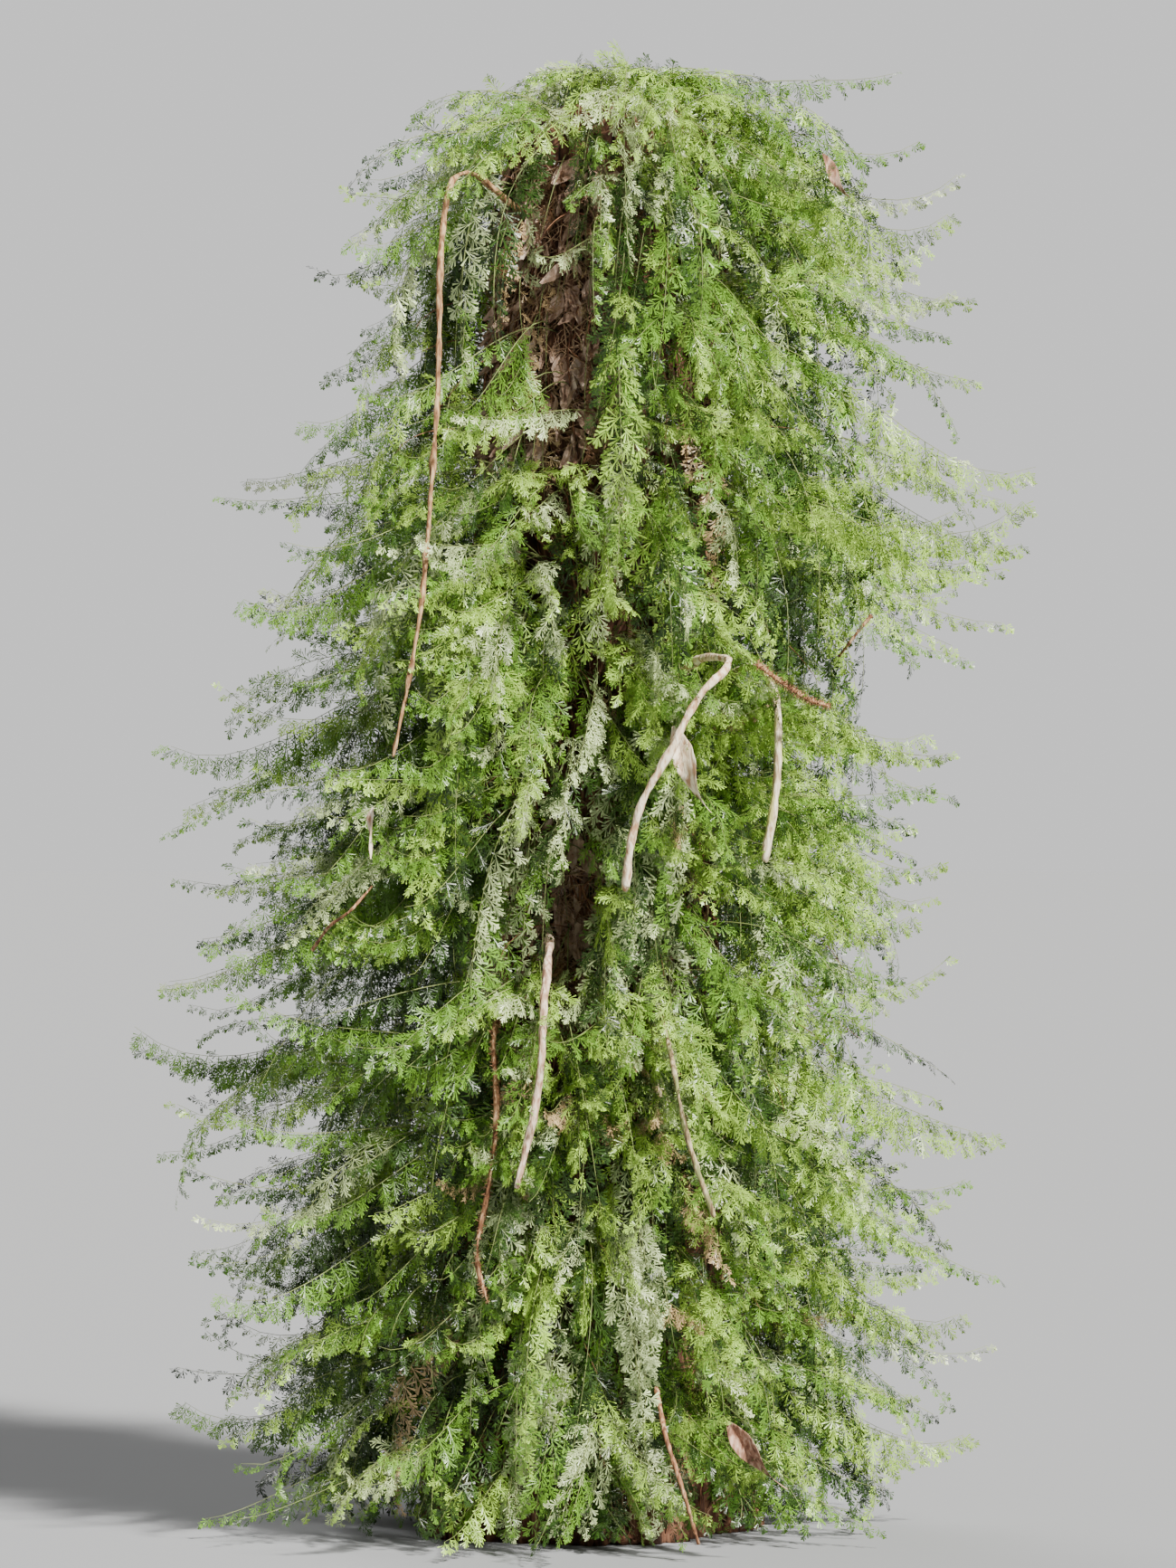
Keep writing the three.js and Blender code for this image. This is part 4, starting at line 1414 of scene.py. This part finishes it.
# %% The whole clump
WITHERED_FRONDS = 130
LOWEST_WITHERED = 0.08
ABOVE_PATCH = 0.02
ROUND_FRONT = (-0.9, 0.6)
KEPT_BEFORE_PATCH = 0.2


def grow_withered():
    """Withered fronds: every second one in or round a bare patch, the others anywhere."""
    grown = []
    for number in range(WITHERED_FRONDS):
        azimuth = rng.uniform(0, 2 * math.pi)
        z = rng.uniform(LOWEST_WITHERED, HIGHEST_ROOT)
        if number % 2:
            patch = BARE_PATCHES[(number // 2) % 2]
            z = photo_point(0, patch["row"]).z + ABOVE_PATCH + patch["high"] * rng.uniform(-1, 1)
            azimuth = -math.pi / 2 + rng.uniform(*ROUND_FRONT)
        grown.append(withered_frond(on_skin(z, azimuth, ROOT_CLEARANCE), azimuth, rng))
    return grown


def kept(frond):
    """Most fronds whose outer half lies before a bare patch are left out, but none of the frame's."""
    if "node" in frond or not any(map(in_bare_patch, frond["controls"][2:])):
        return True
    return rng.random() < KEPT_BEFORE_PATCH


fronds = [frond for frond in from_frame + between + carriers + top_fronds if kept(frond)]
fronds += grow_withered()
print("fronds:", len(fronds))

# %% [markdown]
# ## Tints
# Lit fronds get a light yellow-green as painted light, those in the shade of others a deep green as painted
# shade, and those near the middle a pale, greyish green that is partly painted sheen. Old ones dry to tan.
# A tint belongs to a whole frond, so each tint is a plain base colour, and the fronds are dealt out between
# the tints by where they hang.

# %% Tints of the fronds
# The lightest green is painted light, the darkest is painted shade, and the pale green is partly painted
# sheen.
TINTS = {
    "light": (0.29, 0.465, 0.07),
    "fresh": (0.12, 0.25, 0.028),
    "deep": (0.025, 0.06, 0.008),
    "pale": (0.42, 0.515, 0.245),
    "dry": (0.40, 0.28, 0.14),
    "brown": (0.16, 0.08, 0.04),
}
TIERS = {"lower": 0.30, "middle": 0.57, "upper": 1.0}


def tint_of(frond):
    """A tint dealt by chance: painted shade under the others, low down and at the left, painted light at the
    right and top, and pale, partly painted sheen, in the middle.
    """
    x, y, z = frond["controls"][3]
    inner = "coarse" in frond
    palest = abs(x) < 0.055 and 0.36 < z < 0.56
    weights = {
        "light": 0.1 if inner else 0.25 + 0.55 * (x > -0.05) + 0.2 * (z > 0.45),
        "fresh": 0.4 if inner else 0.5,
        "deep": 0.7 if inner else 0.12 + 0.2 * (z < 0.3) + 0.1 * (x < -0.1),
        "pale": 0.08 + ((0.5 if inner else 0.3) * (abs(x) < 0.07) + 0.7 * palest) * (y < 0),
        "dry": 0.004 + 0.03 * (abs(x) < 0.09) * (z < 0.6),
    }
    total = sum(weights.values())
    return rng.choice(list(weights), p=[weight / total for weight in weights.values()])


def tier_of(frond):
    z = frond["controls"][0][2]
    return next(tier for tier, top in TIERS.items() if z < top)


for frond in fronds:
    frond.setdefault("tint", tint_of(frond))
    frond["tier"] = tier_of(frond) if frond["tint"] not in ("dry", "brown") else "all"
counts = {tint: sum(frond["tint"] == tint for frond in fronds) for tint in TINTS}
print("fronds of each tint:", counts)

# %% [markdown]
# ## From curves to leaflets
# Along each curve we take evenly spaced places, left and right in turn. A leaflet there leaves the
# midrib at an angle towards the tip, droops, and is pulled down a little by its own weight. It is longest
# a third of the way along the blade, with the same outline as the frame's fronds.

# %% Leaflets along the fronds
LEAFLET_SPACING = 0.0048
LEAFLET_ANGLE = math.radians(56)
LEAFLET_TWIST = 0.32
ANGLE_SPREAD = 0.18
ANGLE_CLOSING = 0.45
DROOP_SPREAD = 0.26
LENGTH_SHARES = (0.85, 1.1)
FEWEST_LEAFLETS = 8
LEAST_OUTLINE = 0.48
CURVE_STEPS = 41
AHEAD = 0.002


def curve_points(controls, t):
    """Points of the curve of four control points, at these values of t from 0 to 1."""
    t = t[:, None]
    a, b, c, d = controls
    return (1 - t) ** 3 * a + 3 * (1 - t) ** 2 * t * b + 3 * (1 - t) * t**2 * c + t**3 * d


def even_points(controls, shares):
    """Points at these shares of the curve's length, the directions there, and the whole length."""
    t = np.linspace(0, 1, CURVE_STEPS)
    points = curve_points(controls, t)
    passed = np.concatenate([[0], np.cumsum(np.linalg.norm(np.diff(points, axis=0), axis=1))])
    at = np.interp(shares * passed[-1], passed, t)
    ahead = curve_points(controls, np.minimum(at + AHEAD, 1))
    behind = curve_points(controls, np.maximum(at - AHEAD, 0))
    return curve_points(controls, at), unit(ahead - behind), passed[-1]


def blade_outline(share):
    """How long a leaflet is at this share of the blade, with the longest as one."""
    return np.sin(math.pi * share**0.62) ** 0.75


def leaflets_of(frond):
    """Where a frond's leaflets start, their three axes, and their lengths."""
    length = even_points(frond["controls"], np.array([0.5]))[2]
    stipe = frond["stipe"]
    usual_count = length * (1 - stipe) / LEAFLET_SPACING
    count = max(FEWEST_LEAFLETS, int(usual_count * frond.get("coarse", 1) ** 0.25))
    blade = (np.arange(count) + rng.uniform(0.2, 0.8, count)) / count
    shares = stipe + (1 - stipe) * blade
    points, along, _ = even_points(frond["controls"], shares)
    level = outward(np.full(count, frond["heading"] + math.pi / 2))
    across = unit(level - along * (level * along).sum(1, keepdims=True))
    above = np.cross(along, across)
    across = unit(across * math.cos(frond["roll"]) + above * math.sin(frond["roll"]))
    above = np.cross(along, across)
    side = np.where(np.arange(count) % 2, 1.0, -1.0)[:, None]
    angle = LEAFLET_ANGLE + rng.normal(0, ANGLE_SPREAD, (count, 1)) - ANGLE_CLOSING * blade[:, None]
    droop = frond["droop"] + rng.normal(0, DROOP_SPREAD, (count, 1))
    flat = side * across * np.sin(angle) + along * np.cos(angle)
    axis = flat * np.cos(droop) - above * np.sin(droop) - np.array([0, 0, frond["pull"]])
    axis = unit(axis)
    forward = unit(along - axis * (along * axis).sum(1, keepdims=True))
    twist = rng.normal(0, LEAFLET_TWIST, (count, 1))
    forward = forward * np.cos(twist) + np.cross(axis, forward) * np.sin(twist)
    underside = -side * np.cross(axis, forward)
    outline = np.maximum(blade_outline(blade), LEAST_OUTLINE)
    lengths = frond["leaflet"] * outline * rng.uniform(*LENGTH_SHARES, count)
    return {"start": points, "axis": axis, "forward": forward, "underside": underside, "length": lengths}


def gather(fronds):
    """The leaflets of all fronds in long arrays, each with the number of its frond."""
    parts = [leaflets_of(frond) for frond in fronds]
    leaflets = {key: np.concatenate([part[key] for part in parts]) for key in parts[0]}
    counts = [len(part["length"]) for part in parts]
    leaflets["frond"] = np.repeat(np.arange(len(fronds)), counts)
    leaflets["coarse"] = np.repeat([frond.get("coarse", 1) for frond in fronds], counts)
    return leaflets


leaflets = gather(fronds)
print("leaflets:", len(leaflets["length"]), "longest", leaflets["length"].max().round(4))

# %% [markdown]
# ## The finish of a frond
# A blade of this fern is one cell thick, wet, and a little glossy. It could be made see-through, but a
# million small faces that pass light on would take very long to render, so they are opaque. The tint
# varies a little from leaflet to leaflet, by broad noise, and a very fine bump gives it the grain of cells.

# %% Frond finishes


def frond_material(name, colour, roughness=0.32):
    """A thin, wet-looking leaf of one base colour, a little darker here and lighter there."""
    finish = Finish(name, roughness, specular=0.4)
    darker = tuple(0.72 * c for c in colour)
    lighter = tuple(1.22 * c for c in colour)
    patches = finish.noise(75, detail=2)
    finish.colour(finish.ramp(patches, [(0.35, darker), (0.5, colour), (0.66, lighter)]))
    grain = finish.noise(1400, detail=2)
    finish.bump(grain, strength=0.3, distance=0.0004)
    return finish.material


frond_materials = {tint: frond_material(f"{tint}_frond", colour) for tint, colour in TINTS.items()}
print("finishes:", [material.name for material in frond_materials.values()])

# %% [markdown]
# ## Joining the leaflets into pieces
# All leaflets of one shape are placed in one step: their start, plus the shape's u, v and w along their
# own three axes. One that would go into the trunk or the ground is left out. The rest are collected by
# tint and by tier, so that each piece stays a handy size.

# %% Foliage pieces
SKIN_CLEARANCE = 0.0004
GROUND_CLEARANCE = 0.003
BOX_MARGIN = 0.006


def stands_clear(points):
    """True for each leaflet that is all outside the trunk, above the ground and within the box."""
    beyond = np.array(cad_high) + BOX_MARGIN
    before = np.array(cad_low) - BOX_MARGIN
    inside = ((points < beyond) & (points > before)).all(-1).all(-1)
    away = points[..., :2] - trunk_axis(points[..., 2])
    radius = np.linalg.norm(away, axis=-1)
    azimuth = np.arctan2(away[..., 1], away[..., 0])
    outside = radius > skin_radius(points[..., 2], azimuth) + SKIN_CLEARANCE
    outside |= points[..., 2] > TRUNK_TOP + SKIN_CLEARANCE
    return inside & outside.all(-1) & (points[..., 2] > GROUND_CLEARANCE).all(-1)


def branches_of(lengths):
    """How many branches a leaflet of each length has."""
    chosen = np.zeros(len(lengths), dtype=int)
    for branches, shortest in sorted(SHORTEST_LENGTHS.items()):
        chosen[lengths >= shortest] = branches
    return chosen


def collect_foliage(leaflets, fronds):
    """Points and triangles of the leaflets of every tint and tier."""
    sizes = branches_of(leaflets["length"] * leaflets["coarse"])
    variants = rng.integers(0, LEAFLET_VARIANTS, len(sizes))
    keys = np.array([f"{frond['tint']}_{frond['tier']}" for frond in fronds])[leaflets["frond"]]
    found = {}
    for size, shapes in leaflet_shapes.items():
        for variant, (shape, faces) in enumerate(shapes):
            chosen = (sizes == size) & (variants == variant)
            scale = leaflets["length"][chosen, None, None]
            points = leaflets["start"][chosen, None]
            for number, axis in enumerate(("axis", "forward", "underside")):
                points = points + scale * shape[None, :, number : number + 1] * leaflets[axis][chosen, None]
            clear = stands_clear(points)
            for key in np.unique(keys[chosen]):
                mine = clear & (keys[chosen] == key)
                found.setdefault(key, []).append((points[mine], faces))
    return found


def join_parts(parts):
    """One array of points and one of triangles from several (copies, shape) parts."""
    all_points, all_triangles, passed = [], [], 0
    for points, faces in parts:
        copies, corners = points.shape[:2]
        offsets = passed + corners * np.arange(copies)[:, None, None]
        all_points.append(points.reshape(-1, 3))
        all_triangles.append((faces[None] + offsets).reshape(-1, 3))
        passed += copies * corners
    return np.concatenate(all_points), np.concatenate(all_triangles)


def make_foliage():
    """The pieces by tint and tier. Each frame node is replaced by the piece that its own frond is in."""
    pieces = {}
    for key, parts in collect_foliage(leaflets, fronds).items():
        points, triangles = join_parts(parts)
        material = frond_materials[key.split("_")[0]]
        pieces[key] = piece_from_arrays("leaflets_" + key, points, triangles, material, "frond")
    for frond in fronds:
        if "node" in frond:
            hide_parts(frond["node"])
    return pieces


foliage = make_foliage()
for key, piece in foliage.items():
    print("leaflets", key, len(piece.data.polygons), "triangles")

# %% [markdown]
# ## Midribs
# Every frond has a wiry rib from its root to its tip. Without it the leaflets would hang in the air. The
# ribs are three-sided tubes along the same curves. Some bare, dark ribs of old fronds stick out between
# the others.

# %% Midribs
MIDRIB_STEPS = 13
MIDRIB_SIDES = 3
MIDRIB_END = 0.985
MIDRIB_RADIUS = 0.0005
MIDRIB_TAPER = 0.75
BARE_RIBS = 80
BARE_RIB_RADIUS = 0.00055
BARE_RIB_SPANS = (0.3, 0.65)


def midribs(name, fronds, material, radius):
    """Ribs along the fronds' curves, thinner towards the tips, in one piece."""
    shares = np.linspace(0, MIDRIB_END, MIDRIB_STEPS)
    paths = np.array([even_points(frond["controls"], shares)[0] for frond in fronds])
    reference = np.array([outward(frond["heading"] + math.pi / 2) for frond in fronds])
    radii = radius * (1 - MIDRIB_TAPER * shares)[None, :] * np.ones((len(fronds), 1))
    points, triangles = tubes(paths, radii, reference, MIDRIB_SIDES)
    return piece_from_arrays(name, points, triangles, material, "frond", smooth=True)


def bare_ribs():
    """Wiry ribs of old fronds whose leaflets have gone."""
    ribs = []
    for _ in range(BARE_RIBS):
        azimuth, z = rng.uniform(0, 2 * math.pi), rng.uniform(0.1, HIGHEST_ROOT)
        root = on_skin(z, azimuth, ROOT_CLEARANCE)
        span = local_reach(z, azimuth)[0]
        heading = azimuth + rng.normal(0, 0.5)
        ribs.append(falling_frond(root, heading, span * rng.uniform(*BARE_RIB_SPANS), rng))
    return ribs


rib_material = frond_material("pale_midrib", (0.2, 0.24, 0.08), roughness=0.5)
ribs = midribs("frond_midribs", fronds, rib_material, MIDRIB_RADIUS)
old_ribs = midribs("bare_ribs", bare_ribs(), root_materials["dark"], BARE_RIB_RADIUS)
print("triangles of midribs:", len(ribs.data.polygons) + len(old_ribs.data.polygons))

# %% [markdown]
# ## Light and floor
# The studio is plain: a wide pale floor, and an even pale air behind it. The sun falls on the real plant
# from high at the front right, so the key is a soft sun lamp there. A sun lamp lights the whole floor
# evenly, so the floor stays pale out to the horizon in every view. A weaker one from behind keeps the
# far side readable. The air is pale to the camera, but gives little light, so that the gaps between the
# fronds stay dark.

# %% Floor and lights
FLOOR_HALF = 30
FLOOR_THICKNESS = 0.2
FLOOR_GREY = (0.266, 0.273, 0.290)
FLOOR_RIM = 0.05


def make_floor():
    """A wide slab with a bevelled rim, its top at the ground."""
    deselect_all()
    bpy.ops.mesh.primitive_plane_add(size=2 * FLOOR_HALF, location=(0, 0, 0))
    floor = bpy.context.object
    floor.name = "floor"
    bpy.ops.object.mode_set(mode="EDIT")
    bpy.ops.mesh.select_all(action="SELECT")
    bpy.ops.mesh.extrude_region_move(TRANSFORM_OT_translate={"value": (0, 0, -FLOOR_THICKNESS)})
    bpy.ops.mesh.select_all(action="SELECT")
    bpy.ops.mesh.normals_make_consistent(inside=False)
    bpy.ops.object.mode_set(mode="OBJECT")
    apply_modifier(floor, "BEVEL", width=FLOOR_RIM, segments=3)
    finish = Finish("studio_floor", roughness=0.9, specular=0.2)
    finish.shader.inputs["Base Color"].default_value = (*FLOOR_GREY, 1)
    floor.data.materials.append(finish.material)
    return floor


def add_sun(name, direction, energy, softness, colour):
    """A sun lamp that shines from this direction. softness is how wide it looks, in degrees."""
    deselect_all()
    bpy.ops.object.light_add(type="SUN", location=direction)
    light = bpy.context.object
    light.name = name
    light.data.energy = energy
    light.data.angle = math.radians(softness)
    light.data.color = colour
    light.rotation_euler = Vector(direction).to_track_quat("Z", "Y").to_euler()
    return light


def add_air(colour, seen, given):
    """The air around: one strength as the camera sees it, another for the light it gives."""
    world = bpy.data.worlds.new("studio_air")
    world.use_nodes = True
    nodes, links = world.node_tree.nodes, world.node_tree.links
    lighting = nodes["Background"]
    backdrop = nodes.new("ShaderNodeBackground")
    for background, strength in ((lighting, given), (backdrop, seen)):
        background.inputs["Color"].default_value = (*colour, 1)
        background.inputs["Strength"].default_value = strength
    mix = nodes.new("ShaderNodeMixShader")
    path = nodes.new("ShaderNodeLightPath")
    links.new(path.outputs["Is Camera Ray"], mix.inputs["Fac"])
    links.new(lighting.outputs["Background"], mix.inputs[1])
    links.new(backdrop.outputs["Background"], mix.inputs[2])
    links.new(mix.outputs["Shader"], nodes["World Output"].inputs["Surface"])
    bpy.context.scene.world = world


floor = make_floor()
add_sun("key_light", (1.4, -1.6, 1.75), energy=13.0, softness=5, colour=(1.0, 0.97, 0.9))
add_sun("fill_light", (-1.8, -0.9, 0.9), energy=0.35, softness=40, colour=(1.0, 0.98, 0.95))
add_sun("edge_light", (-0.9, 1.7, 1.5), energy=2.2, softness=25, colour=(1.0, 0.98, 0.94))
add_air((1.0, 1.0, 1.0), seen=0.86, given=0.06)
